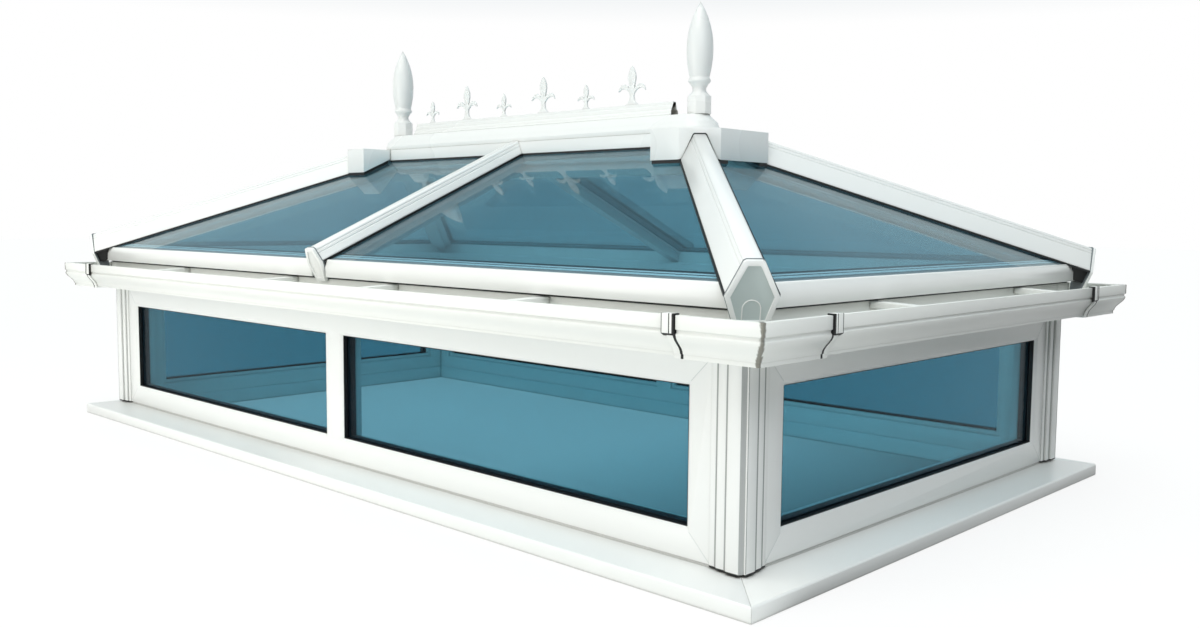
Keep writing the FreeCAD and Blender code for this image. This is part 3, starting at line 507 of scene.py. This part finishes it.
class LANTERN_OT_wall(bpy.types.Operator):
    """Window frames, corner posts and sills with rounded arrises, welds and gaskets"""
    bl_idname = "lantern.wall"
    bl_label = "Window wall"

    def execute(self, context):
        # Drawn through a polished die: clean white with soft, broad highlights, and painted shade and dirt
        # grey in its joints
        white = extruded_pvc("Extruded white PVC-U", colours().upvc, roughness=0.3, crease_dirt_and_shade=0.8)
        # Soft extruded rubber: a black line that takes almost no light; it also paints the shadow under the
        # corner posts
        rubber = moulded("Black glazing rubber", colours().rubber, roughness=0.55)
        for side in SIDES:
            dress(["window_" + side], side + "_window_frame", "white_upvc", sizes().frame_edge, white)
            dress(["sill_" + side], side + "_sill", "white_upvc", sizes().frame_edge, white)
        self.posts()
        paint("glazing_beads", white)
        self.welds()
        self.gaskets(rubber)
        self.post_foot_shadows(rubber)
        return {"FINISHED"}

    def face(self, side):
        """Half length of a window frame, its outer plane on the front, and its foot and head."""
        low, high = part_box("window_" + side)
        if side in ("front", "back"):
            return high.x, -HALF_WIDTH, low.z, high.z
        return high.y, -HALF_LENGTH, low.z, high.z

    def posts(self):
        """Corner posts with painted shadow lines beside their quirks and a grey strip of painted shade in the
        slot at the arris.
        """
        # The frames' extrusion with less painted shade and dirt: its many steps grey only a little
        white = extruded_pvc("Post cover PVC-U", colours().upvc, roughness=0.3, crease_dirt_and_shade=0.5)
        # Painted shadow: soft grey lines without shine
        quirk_shadow = moulded("Painted quirk shadow", colours().quirk, roughness=0.7)
        # Grey strip of painted shade across the slot: a flat grey between two white edges
        grey = moulded("Grey slot filler", colours().filler, roughness=0.5)
        dress(["corner_posts"], "corner_post_covers", "white_upvc", sizes().gutter_edge, white)
        fillers, lines = [], []
        for x in (-1, 1):
            for y in (-1, 1):
                fillers.append(self.upright(x, y, *FILLER_IN, FILLER_FACING, sizes().slot_fill, FILLER_THICK))
                lines.append(self.upright(x, y, 0, LAND_IN, (1, 0), LAND_SHADOW_LINE * MM, QUIRK_SHADOW_THICK))
                for across, back in QUIRKS:
                    inward, front, end = POST_WIDE - across, sizes().front_quirk_shadow, sizes().end_quirk_shadow
                    lines.append(self.upright(x, y, inward + front / MM / 2, back, (0, 1), front, QUIRK_SHADOW_THICK))
                    lines.append(self.upright(x, y, back, inward + end / MM / 2, (1, 0), end, QUIRK_SHADOW_THICK))
        finished(joined(fillers, "post_slot_fillers"), "white_upvc", grey)
        finished(joined(lines, "post_quirk_shadow_lines"), "white_upvc", quirk_shadow)

    def upright(self, x, y, in_x, in_y, facing, wide, thick):
        """Thin strip up a corner post, so many mm in from the post's outer planes."""
        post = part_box("corner_posts")[1]
        foot = Vector((x * (post.x - in_x * MM), y * (post.y - in_y * MM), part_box("window_front")[0].z))
        normal = Vector((x * facing[0], y * facing[1], 0)).normalized()
        return strip(foot, Vector((foot.x, foot.y, post.z)), normal, wide, thick * MM)

    def welds(self):
        """Mitre line across each corner of the window frames."""
        # Weld bead scraped flush: a faint grey hairline
        seam = moulded("Cleaned weld seam", colours().seam, roughness=0.5)
        reach = sizes().sightline - sizes().splay
        bars = []
        for side in SIDES:
            half, plane, foot, head = self.face(side)
            for x in (-1, 1):
                for edge, step in ((foot, 1), (head, -1)):
                    outer = Vector((x * half, plane, edge))
                    inner = outer + Vector((-x * reach, 0, step * reach))
                    bar = strip(outer, inner, Vector((0, -1, 0)), sizes().weld, WELD_THICK * MM)
                    bars.append(to_side(bar, side))
        finished(joined(bars, "frame_weld_seams"), "white_upvc", seam)

    def gaskets(self, rubber):
        """Rubber that lines each reveal between the splay and the glass."""
        liners = []
        deep = sizes().reveal - sizes().splay_deep
        for side in SIDES:
            half, plane, foot, head = self.face(side)
            edge = half - sizes().sightline
            middle = sizes().mullion / 2
            spans = ((-edge, -middle), (middle, edge)) if side in ("front", "back") else ((-edge, edge),)
            for left, right in spans:
                bpy.ops.mesh.primitive_cube_add(size=1)
                liner = bpy.context.object
                liner.scale = (right - left, deep, head - foot - 2 * sizes().sightline)
                middle_y = plane + sizes().splay_deep + deep / 2
                liner.location = ((left + right) / 2, middle_y, (foot + head) / 2)
                bpy.ops.object.transform_apply(location=True, rotation=True, scale=True)
                keep_faces(liner, lambda polygon: abs(polygon.normal.y) < MOSTLY)
                wall = liner.modifiers.new("Wall", "SOLIDIFY")
                wall.thickness = sizes().seal
                wall.offset = -1
                bpy.ops.object.modifier_apply(modifier=wall.name)
                liners.append(to_side(liner, side))
        finished(joined(liners, "wall_glazing_gaskets"), "gasket", rubber)

    def post_foot_shadows(self, rubber):
        """Black strip of painted shadow between the foot of each corner post and the sill."""
        foot_shadows = copied(["corner_posts"], "corner_post_foot_shadows")
        keep_faces(foot_shadows, lambda polygon: polygon.normal.z < -TURNED)
        grow_out(foot_shadows, sizes().post_shadow_gap)
        finished(foot_shadows, "gasket", rubber)


class LANTERN_OT_gutter(bpy.types.Operator):
    """Gutter runs, corner angles, straps, brackets, union seals and painted shadow lines round the clips"""
    bl_idname = "lantern.gutter"
    bl_label = "Gutter"

    def execute(self, context):
        # Thin extrusion, out in the weather: a warmer white, its highlights a little duller
        cream = extruded_pvc("Gutter PVC-U", colours().gutter, roughness=0.34, crease_dirt_and_shade=0.6)
        # The same, moulded as an angle: old sealant smears a ragged grey along the mitre
        soiled = extruded_pvc("Gutter PVC-U with soiled mitre", colours().gutter, roughness=0.36, crease_dirt_and_shade=0.6,
                              mitre_dirt=True)
        # Seal squeezed between two sections: a dull black line; the same black paints the shadow lines round
        # the clips
        rubber = moulded("Black union rubber", colours().rubber, roughness=0.6)
        for side in SIDES:
            dress(["gutter_" + side], side + "_gutter", "gutter_upvc", sizes().gutter_edge, cream)
        dress(["gutter_corners"], "gutter_corner_angles", "gutter_upvc", sizes().gutter_edge, soiled)
        dress(["gutter_straps"], "gutter_retaining_straps", "gutter_upvc", sizes().gutter_edge, cream)
        dress(["gutter_brackets"], "gutter_support_brackets", "gutter_upvc", sizes().gutter_edge, cream)
        self.union_seals(rubber)
        self.clip_shadow_lines(rubber)
        return {"FINISHED"}

    def clip_shadow_lines(self, rubber):
        """Painted shadow: a dark line along the far side and foot of each clip."""
        lines = copied(["gutter_straps"], "gutter_clip_shadow_lines")
        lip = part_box("gutter_front")[1].z
        keep_faces(lines, lambda polygon: self.clip_side(polygon, lip))
        grow_out(lines, sizes().clip_shadow_line)
        # Lines grown on sloping faces stay within the solids' box
        low, high = CAD_BOX
        for vertex in lines.data.vertices:
            vertex.co.x = min(max(vertex.co.x, low[0]), high[0])
            vertex.co.y = min(max(vertex.co.y, low[1]), high[1])
        finished(lines, "gasket", rubber)

    def clip_side(self, polygon, lip):
        """True for a clip's faces turned from the corner angle or down."""
        along = self.along(polygon)
        turned = polygon.normal[along] * math.copysign(1, polygon.center[along])
        near_lip = polygon.center.z > lip - CLIP_DEEP * MM
        return near_lip and (turned < -SQUARE or polygon.normal.z < -MOSTLY)

    def union_seals(self, rubber):
        """Rubber that fills the gap between each strap and its corner angle."""
        seals = copied(["gutter_straps"], "gutter_union_seals")
        stops = [0.0, 0.0]
        same_plane = 0.5 * MM
        for polygon in seals.data.polygons:
            along = self.along(polygon)
            if self.to_corner(polygon):
                stops[along] = max(stops[along], abs(polygon.center[along]))
        keep_faces(seals, lambda polygon: self.to_corner(polygon)
                   and abs(polygon.center[self.along(polygon)]) > stops[self.along(polygon)] - same_plane)
        grow_out(seals, sizes().union_gap)
        finished(seals, "gasket", rubber)

    def along(self, polygon):
        """Axis that the gutter of a strap's polygon runs along."""
        return 0 if abs(polygon.center.x) < HALF_LENGTH else 1

    def to_corner(self, polygon):
        """True for a strap's face turned to its corner angle."""
        along = self.along(polygon)
        return polygon.normal[along] * math.copysign(1, polygon.center[along]) > SQUARE


class LANTERN_OT_roof(bpy.types.Operator):
    """Hip and bar covers, end caps, eaves trims, their seals and the roof units' edge bands"""
    bl_idname = "lantern.roof"
    bl_label = "Roof covers"

    def execute(self, context):
        # Extruded cover with almost no painted shade and dirt: the brightest white, with the clearest
        # highlights
        white = extruded_pvc("Glossy white PVC-U cover", colours().upvc, roughness=0.24, crease_dirt_and_shade=0.05)
        # Injection moulding with a spark-eroded face: a flat cool grey
        plate = moulded("Grey moulded end plate", colours().plate, roughness=0.5)
        # Extruded rubber: a matt black edge beside the white; the same black paints the shadow in the gap
        # behind the gutter
        rubber = moulded("Black EPDM rubber", colours().rubber, roughness=0.6)
        # Thin seal: a mid-grey line that paints the shadow gap round each end cap
        grey = moulded("Grey end seal", colours().shadow_gap_seal, roughness=0.55)
        for node, name, edge in (("hip_caps", "hip_covers", sizes().gutter_edge),
                                 ("bar_caps", "bar_covers", sizes().gutter_edge),
                                 ("eaves_trims", "eaves_covers", sizes().cap_edge)):
            dress([node], name, "white_upvc", edge, white)
        self.end_caps(white, plate)
        self.seals(rubber, grey)
        self.fins(rubber)
        self.eaves_shadow_strip(rubber)
        self.edge_bands()
        return {"FINISHED"}

    def fins(self, rubber):
        """Edge of the rubber that shows beside the hip and bar covers."""
        fins = copied(["roof_gaskets"], "cover_gasket_fins")
        keep_faces(fins, self.beside_cover)
        grow_out(fins, sizes().fin)
        finished(fins, "gasket", rubber)

    def beside_cover(self, polygon):
        """True for the long outer side of a gasket under a hip or bar cover."""
        middle = polygon.center
        across, off = Vector((1, 0, 0)), middle.x
        if abs(middle.x) > HIP_SHIFT / 4:
            turn = math.copysign(1, middle.x) * math.copysign(1, middle.y)
            across = Vector((1, -turn, 0)).normalized()
            off = across.dot(middle - Vector((math.copysign(HIP_SHIFT, middle.x), 0, 0)))
        outward = polygon.normal.dot(across) * math.copysign(1, off) > SQUARE
        return outward and polygon.area > LONG_SIDE * MM * MM

    def edge_bands(self):
        """Pale band on the underside of the outer roof sheet along the eaves, with two dark lines."""
        # Printed enamel: an even pale strip that the tint of the sheet turns blue
        pale = moulded("Pale edge band", colours().band, roughness=0.5)
        # Sealant in the unit's edge: near-black lines
        dark = moulded("Dark edge sealant", colours().spacer, roughness=0.5)
        pane = max(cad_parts["roof_glass_front"].data.polygons, key=lambda polygon: (
            polygon.normal.z > MOSTLY) * polygon.normal.dot(polygon.center))
        normal, rise = pane.normal.copy(), pane.normal.dot(pane.center)
        bands, lines = [], []
        for side in SIDES:
            half, plane = HALF_LENGTH, HALF_WIDTH
            if side in ("right", "left"):
                half, plane = HALF_WIDTH, HALF_LENGTH
            for out, wide, drop, bars in ((BAND_OUT, sizes().edge_band, BAND_DROP, bands),
                                          (EDGE_LINE_OUT, sizes().edge_line, LINE_DROP, lines),
                                          (FINE_LINE_OUT, sizes().fine_line, LINE_DROP, lines)):
                level = (rise + normal.y * (HALF_WIDTH + out * MM)) / normal.z
                middle = Vector((0, -plane - out * MM, level)) - normal * (sizes().sheet + drop * MM)
                reach = Vector((half + (out - HIP_CLEAR) * MM, 0, 0))
                bar = strip(middle - reach, middle + reach, normal, wide, EDGE_THICK * MM)
                bars.append(to_side(bar, side))
        finished(joined(bands, "roof_edge_bands"), "white_upvc", pale)
        finished(joined(lines, "roof_edge_lines"), "gasket", dark)

    def seals(self, rubber, grey):
        """Black strips under the covers; the thin seals behind the end caps are grey, painted shade of the
        gap round each cap.
        """
        ends = [(polygon.normal.copy(), polygon.normal.dot(polygon.center), polygon.center.copy())
                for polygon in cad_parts["end_caps"].data.polygons if self.faces_down(polygon)]
        seals = copied(["roof_gaskets"], "roof_rubber_seals")
        finished(seals, "gasket", rubber, grey)
        for polygon in seals.data.polygons:
            depths = [rim - normal.dot(polygon.center) for normal, rim, middle in ends
                      if (polygon.center - middle).length < CAP_REACH * MM]
            at_end = any(SEAL_NEAR * MM < depth < SEAL_FAR * MM for depth in depths)
            polygon.material_index = int(at_end)
        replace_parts(seals, "roof_gaskets")

    def faces_down(self, polygon):
        """True for a rim's face, square to the fall of its cover."""
        middle = polygon.center
        out = Vector((0, math.copysign(1, middle.y), 0))
        if abs(middle.x) > HALF_LENGTH / 2:
            out = Vector((math.copysign(1, middle.x), math.copysign(1, middle.y), 0)).normalized()
        return polygon.normal.dot(out) > RIM_TURNED and polygon.normal.z < -LEANING

    def eaves_shadow_strip(self, rubber):
        """Painted shadow: a dark strip on the gutter's back wall, in the gap under each eaves trim."""
        bars = []
        for side in SIDES:
            axis, half = (1, HALF_LENGTH) if side in ("front", "back") else (0, HALF_WIDTH)
            low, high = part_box("gutter_" + side)
            plane = -min(abs(low[axis]), abs(high[axis])) - GUTTER_WALL * MM - sizes().eaves_shadow_strip / 2
            level = high.z + SHADOW_STRIP_RISE * MM - sizes().eaves_gap / 2
            bars.append(to_side(strip(Vector((-half, plane, level)), Vector((half, plane, level)),
                                      Vector((0, -1, 0)), sizes().eaves_gap, sizes().eaves_shadow_strip), side))
        finished(joined(bars, "eaves_gap_shadow"), "gasket", rubber)

    def end_caps(self, white, plate):
        """White rims; the plates of the hip caps are grey, with a moulded arch."""
        caps = copied(["end_caps"], "cover_end_caps")
        finished(caps, "end_cap", white, plate)
        outward = [polygon for polygon in caps.data.polygons if self.faces_out(polygon)]
        rim = max(polygon.normal.dot(polygon.center) for polygon in outward)
        places = []
        for polygon in outward:
            if polygon.normal.dot(polygon.center) < rim - PLATE_DEEP * MM:
                polygon.material_index = 1
                corners = [caps.data.vertices[index].co.copy() for index in polygon.vertices]
                places.append((corners, polygon.normal.copy()))
        round_off(caps, sizes().moulding_edge)
        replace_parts(caps, "end_caps")
        arches = [self.arch(corners, normal) for corners, normal in places]
        finished(joined(arches, "end_cap_knock_outs"), "end_cap", white)

    def faces_out(self, polygon):
        """True for faces square to a hip's fall, at its outer end."""
        middle = polygon.center
        out = Vector((math.copysign(1, middle.x), math.copysign(1, middle.y), 0)).normalized()
        return polygon.normal.dot(out) > TURNED and polygon.normal.z < -LEANING

    def arch(self, corners, normal):
        """Half-round line on two legs, standing on the foot of a plate."""
        radius = sizes().knockout
        near = 0.1 * MM
        leg = radius + (ARCH_RISE - ARCH_FOOT) * MM
        bpy.ops.mesh.primitive_circle_add(vertices=ARCH_POINTS, radius=radius)
        ring = bpy.context.object
        pick(ring, "VERT", lambda vertex: vertex.co.y < -near)
        bpy.ops.mesh.delete(type="VERT")
        bpy.ops.object.mode_set(mode="OBJECT")
        pick(ring, "VERT", lambda vertex: vertex.co.y < near)
        bpy.ops.mesh.extrude_region_move(TRANSFORM_OT_translate={"value": (0, -leg, 0)})
        bpy.ops.object.mode_set(mode="OBJECT")
        bpy.ops.object.convert(target="CURVE")
        ring = bpy.context.object
        ring.data.bevel_depth = ARCH_LINE * MM
        ring.data.bevel_resolution = 1
        bpy.ops.object.convert(target="MESH")
        ring = bpy.context.object
        same_level = 1 * MM
        foot = min(corner.z for corner in corners)
        low = [corner for corner in corners if corner.z < foot + same_level]
        base = sum(low, Vector()) / len(low)
        across = Vector((0, 0, 1)).cross(normal).normalized()
        upward = normal.cross(across)
        turn = Matrix((across, upward, normal)).transposed().to_4x4()
        ring.matrix_world = Matrix.Translation(base + upward * (radius + ARCH_RISE * MM)) @ turn
        return ring


class LANTERN_OT_ridge(bpy.types.Operator):
    """Ridge cap, wings, boss covers, cresting and finials"""
    bl_idname = "lantern.ridge"
    bl_label = "Ridge"

    def execute(self, context):
        # Formed and moulded pieces: glossy white, with painted shade and dirt grey in the steps
        white = extruded_pvc("Moulded white PVC-U", colours().upvc, roughness=0.27, crease_dirt_and_shade=0.8)
        for node, name, edge in (
                ("ridge_cap", "ridge_cover", sizes().cap_edge),
                ("ridge_wings", "ridge_side_wings", sizes().gutter_edge),
                ("ridge_boss_right", "right_boss_cover", sizes().cap_edge),
                ("ridge_boss_left", "left_boss_cover", sizes().cap_edge),
                ("finial_right", "right_finial", sizes().moulding_edge),
                ("finial_left", "left_finial", sizes().moulding_edge)):
            dress([node], name, "white_upvc", edge, white)
        self.cresting(white)
        return {"FINISHED"}

    def cresting(self, white):
        """Cresting whose open hollow ends have painted shade inside."""
        # Inside of an open extrusion: a dull grey of painted shade
        hollow = moulded("Dark hollow of the strip", colours().hollow, roughness=0.8)
        crest = copied(["cresting"], "ridge_cresting")
        finished(crest, "white_upvc", white, hollow)
        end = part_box("cresting")[1].x
        for polygon in crest.data.polygons:
            spans = [abs(crest.data.vertices[index].co.x) for index in polygon.vertices]
            if min(spans) > end - CREST_END * MM:
                wall = max(spans) - min(spans) > HOLLOW_DEEP * MM
                floor = max(spans) < end - HOLLOW_DEEP * MM
                polygon.material_index = int(wall or floor)
        round_off(crest, sizes().gutter_edge)
        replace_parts(crest, "cresting")


class LANTERN_OT_glazing(bpy.types.Operator):
    """Tinted sealed units with their spacers and gaskets"""
    bl_idname = "lantern.glazing"
    bl_label = "Glazing"

    def execute(self, context):
        # Two tinted sheets: a deep clear blue, with faint mirror images
        wall = tinted_glass("Blue tinted wall glass", colours().glass, index=1.1)
        # A paler tint that mirrors the sky more, so it looks greyer
        roof = tinted_glass("Blue tinted roof glass", colours().roof_glass, index=1.15)
        # Cut rubber sheet: a matt black edge under the boss
        rubber = moulded("Black boss rubber", colours().rubber, roughness=0.6)
        for side in SIDES:
            paint("wall_glass_" + side, wall)
            paint("roof_glass_" + side, roof)
        paint("boss_seals", rubber)
        self.spacers()
        return {"FINISHED"}

    def spacers(self):
        """Dark spacers in the wall units, mill aluminium in the roof units."""
        # Foamed plastic bar: a blue-black line inside the glass
        dark = moulded("Dark warm-edge spacer", colours().spacer, roughness=0.45)
        # Roll-formed bar, its bright metal dulled to a plain grey by the glass over it
        bright = moulded("Mill aluminium spacer", colours().roof_spacer, roughness=0.4)
        bars = copied(["spacer_bars"], "unit_spacer_bars")
        finished(bars, "spacer_bar", dark, bright)
        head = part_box("window_front")[1].z
        for polygon in bars.data.polygons:
            polygon.material_index = int(polygon.center.z > head)
        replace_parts(bars, "spacer_bars")


class LANTERN_OT_carcass(bpy.types.Operator):
    """Powder-coated eaves beams; rafters and ridge beam in a pale grey of painted shade"""
    bl_idname = "lantern.carcass"
    bl_label = "Inner members"

    def execute(self, context):
        # Baked powder: satin white with a fine orange peel
        coat = moulded("White powder-coated aluminium", colours().powder, roughness=0.42, grain_mm=1.2)
        # A flat pale grey without mirror images: painted shade on the rafters and ridge beam seen under the
        # glass
        mill = moulded("Pale grey aluminium with painted shade", colours().mill, roughness=0.5)
        for side in SIDES:
            paint("eaves_beam_" + side, coat)
        for node in ("rafters", "ridge_beam"):
            paint(node, mill)
        return {"FINISHED"}


class LANTERN_OT_stage(bpy.types.Operator):
    """Pale floor, soft studio light and the camera at the photograph's angle"""
    bl_idname = "lantern.stage"
    bl_label = "Studio"

    def execute(self, context):
        self.floor()
        self.world(context.scene)
        self.lamp("Low front lamp", place=(-0.5, -3.2, 0.95), aim=(-0.1, -0.7, 0.35), wide=1.6, watts=24,
                  tint=WARM_WHITE)
        self.lamp("Near end lamp", place=(2.9, -1.4, 2.2), aim=(1.2, -0.3, 0.4), wide=1.2, watts=12,
                  tint="F0F5FF")
        self.sun("High front light", left=-16, above=52, wide=50, strength=1.0)
        self.camera(context.scene)
        context.scene.view_settings.view_transform = "Standard"
        return {"FINISHED"}

    def floor(self):
        """White to the eye; under the lantern, painted shade deepens and a painted glow fades toward its
        right end; dark to bounced light off that end.
        """
        bpy.ops.object.select_all(action="DESELECT")
        bpy.ops.mesh.primitive_plane_add(size=FLOOR_SIZE, location=(0, 0, -FLOOR_DROP))
        plane = bpy.context.object
        plane.name = "studio_floor"
        # Matt painted board: an even white that still takes the lantern's soft shadow
        material, tree = blank("Pale studio floor")
        place = add(tree, "TexCoord").outputs["Object"]
        cloud = add(tree, "TexNoise", {"Vector": place, "Scale": per_metre(900), "Detail": 3.0})
        pale = blend(tree, cloud.outputs["Fac"], shade(colours().floor, 0.985), opaque(colours().floor))
        seen = seen_share(tree)
        white, dark = shade(colours().floor, 0.97), shade(colours().floor, 0.16)
        card = blend(tree, self.right_of(tree, place), white, dark)
        # Painted shade and light under the lantern: its floor darkens toward the right end, and its glow
        # fades from 0.45 to nothing there
        along = add(tree, "SeparateXYZ", {"Vector": place}).outputs["X"]
        to_end = add(tree, "MapRange", {"Value": along, "From Min": 0.2, "From Max": 1.1})
        around = add(tree, "MapRange", {"Value": self.outside(tree, place), "From Min": -0.02,
                                        "From Max": 0.02})
        within = blend(tree, to_end.outputs["Result"], pale, shade(colours().floor, 0.5))
        open_floor = blend(tree, around.outputs["Result"], within, pale)
        body = add(tree, "BsdfDiffuse", {"Color": blend(tree, seen, card, open_floor)})
        glow = add(tree, "Emission", {"Color": opaque(from_hex("FFFFFF")), "Strength": 1.0})
        inside = add(tree, "MapRange", {"Value": to_end.outputs["Result"], "To Min": 0.45, "To Max": 0.0})
        lift = add(tree, "MapRange", {"Value": around.outputs["Result"], "To Min": inside.outputs["Result"],
                                      "To Max": 0.76})
        share = add(tree, "Math", {0: seen, 1: lift.outputs["Result"]}, operation="MULTIPLY")
        mix = add(tree, "MixShader", {"Fac": share.outputs["Value"], 1: body.outputs["BSDF"],
                                      2: glow.outputs["Emission"]})
        add(tree, "OutputMaterial", {"Surface": mix.outputs["Shader"]})
        plane.data.materials.append(material)

    def right_of(self, tree, place):
        """1 on the floor right of the lantern, where a dark cloth takes the bounce from its end."""
        parts = add(tree, "SeparateXYZ", {"Vector": place})
        right = add(tree, "Math", {0: parts.outputs["X"], 1: HALF_LENGTH}, operation="SUBTRACT")
        back = add(tree, "Math", {0: parts.outputs["Y"], 1: HALF_WIDTH}, operation="ADD")
        inner = add(tree, "Math", {0: right.outputs["Value"], 1: back.outputs["Value"]}, operation="MINIMUM")
        return add(tree, "MapRange", {"Value": inner.outputs["Value"], "From Min": -0.1, "From Max": 0.1},
                   interpolation_type="SMOOTHSTEP").outputs["Result"]

    def outside(self, tree, place):
        """Distance out from the lantern's own footprint, negative under it."""
        size = add(tree, "VectorMath", {0: place}, operation="ABSOLUTE")
        over = add(tree, "VectorMath", {0: size.outputs["Vector"], 1: (HALF_LENGTH, HALF_WIDTH, 0)},
                   operation="SUBTRACT")
        parts = add(tree, "SeparateXYZ", {"Vector": over.outputs["Vector"]})
        return add(tree, "Math", {0: parts.outputs["X"], 1: parts.outputs["Y"]},
                   operation="MAXIMUM").outputs["Value"]

    def world(self, scene):
        """Dome that is white at the horizon and blue grey above; its light grows with height."""
        world = bpy.data.worlds.new("Studio dome")
        world.use_nodes = True
        scene.world = world
        tree = world.node_tree
        tree.nodes.clear()
        way = add(tree, "TexCoord").outputs["Generated"]
        height = add(tree, "SeparateXYZ", {"Vector": way}).outputs["Z"]
        sky = add(tree, "ValToRGB", {"Fac": height})
        stops = sky.color_ramp.elements
        stops.remove(stops[1])
        stops[0].position = SKY_WHITE_TO
        stops[0].color = opaque(from_hex("FFFFFF"))
        for place, tint in SKY:
            stops.new(place).color = opaque(from_hex(tint))
        shown = add(tree, "Background", {"Color": sky.outputs["Color"], "Strength": 1.0})
        square = add(tree, "Math", {0: height, 1: height}, operation="MULTIPLY")
        lift = add(tree, "MapRange", {"Value": square.outputs["Value"], "From Min": 0, "From Max": 1,
                                      "To Min": 0.02, "To Max": 1.7})
        fill = add(tree, "Background", {"Color": opaque(from_hex("F3FDFF")),
                                        "Strength": lift.outputs["Result"]})
        mix = add(tree, "MixShader", {"Fac": seen_share(tree), 1: fill.outputs["Background"],
                                      2: shown.outputs["Background"]})
        add(tree, "OutputWorld", {"Surface": mix.outputs["Shader"]})

    def lamp(self, name, place, aim, wide, watts, tint):
        """Soft square lamp whose light falls off along the walls."""
        toward = Vector(place) - Vector(aim)
        bpy.ops.object.light_add(type="AREA", location=place,
                                 rotation=(-toward).to_track_quat("-Z", "Y").to_euler())
        light = bpy.context.object
        light.name = name
        light.visible_camera = False
        light.data.size = wide
        light.data.energy = watts
        light.data.color = from_hex(tint)

    def sun(self, name, left, above, wide, strength):
        """Wide, even light from the front, so many degrees to the left and above the floor."""
        turn, rise = math.radians(left), math.radians(above)
        toward = Vector((-math.sin(turn) * math.cos(rise), -math.cos(turn) * math.cos(rise), math.sin(rise)))
        bpy.ops.object.light_add(type="SUN", rotation=(-toward).to_track_quat("-Z", "Y").to_euler())
        light = bpy.context.object
        light.name = name
        light.data.angle = math.radians(wide)
        light.data.energy = strength
        light.data.color = from_hex(WARM_WHITE)

    def camera(self, scene):
        """Camera at the eye that fits the photograph."""
        yaw, pitch, roll = (math.radians(angle) for angle in EYE_TURN)
        forward = Vector((-math.sin(yaw) * math.cos(pitch), math.cos(yaw) * math.cos(pitch), math.sin(pitch)))
        right = forward.cross(Vector((0, 0, 1))).normalized()
        above = right.cross(forward)
        across = right * math.cos(roll) + above * math.sin(roll)
        upward = above * math.cos(roll) - right * math.sin(roll)
        turn = Matrix((across, upward, -forward)).transposed()
        bpy.ops.object.camera_add()
        camera = bpy.context.object
        camera.matrix_world = Matrix.Translation(Vector(EYE_PLACE) * MM) @ turn.to_4x4()
        camera.data.sensor_width = SENSOR
        camera.data.lens = FOCAL_PIXELS / PHOTO_WIDE * SENSOR
        camera.data.clip_start = 0.01
        scene.camera = camera


class LANTERN_PT_panel(bpy.types.Panel):
    """Sizes, colours and steps that dress the lantern"""
    bl_idname = "LANTERN_PT_panel"
    bl_label = "Roof lantern"
    bl_space_type = "VIEW_3D"
    bl_region_type = "UI"
    bl_category = "Lantern"

    def draw(self, context):
        for group in (context.scene.lantern_sizes, context.scene.lantern_colours):
            for key in group.__annotations__:
                self.layout.prop(group, key)
        for step in STEPS:
            self.layout.operator(step.bl_idname)


STEPS = (LANTERN_OT_stage, LANTERN_OT_wall, LANTERN_OT_gutter, LANTERN_OT_roof, LANTERN_OT_ridge,
         LANTERN_OT_glazing, LANTERN_OT_carcass)
CLASSES = (LanternSizes, LanternColours, *STEPS, LANTERN_PT_panel)


def register():
    for item in CLASSES:
        bpy.utils.register_class(item)
    bpy.types.Scene.lantern_sizes = bpy.props.PointerProperty(type=LanternSizes)
    bpy.types.Scene.lantern_colours = bpy.props.PointerProperty(type=LanternColours)


def unregister():
    del bpy.types.Scene.lantern_colours
    del bpy.types.Scene.lantern_sizes
    for item in reversed(CLASSES):
        bpy.utils.unregister_class(item)


def main():
    register()
    bpy.ops.lantern.stage()
    bpy.ops.lantern.wall()
    bpy.ops.lantern.gutter()
    bpy.ops.lantern.roof()
    bpy.ops.lantern.ridge()
    bpy.ops.lantern.glazing()
    bpy.ops.lantern.carcass()


if __name__ == "__main__":
    main()
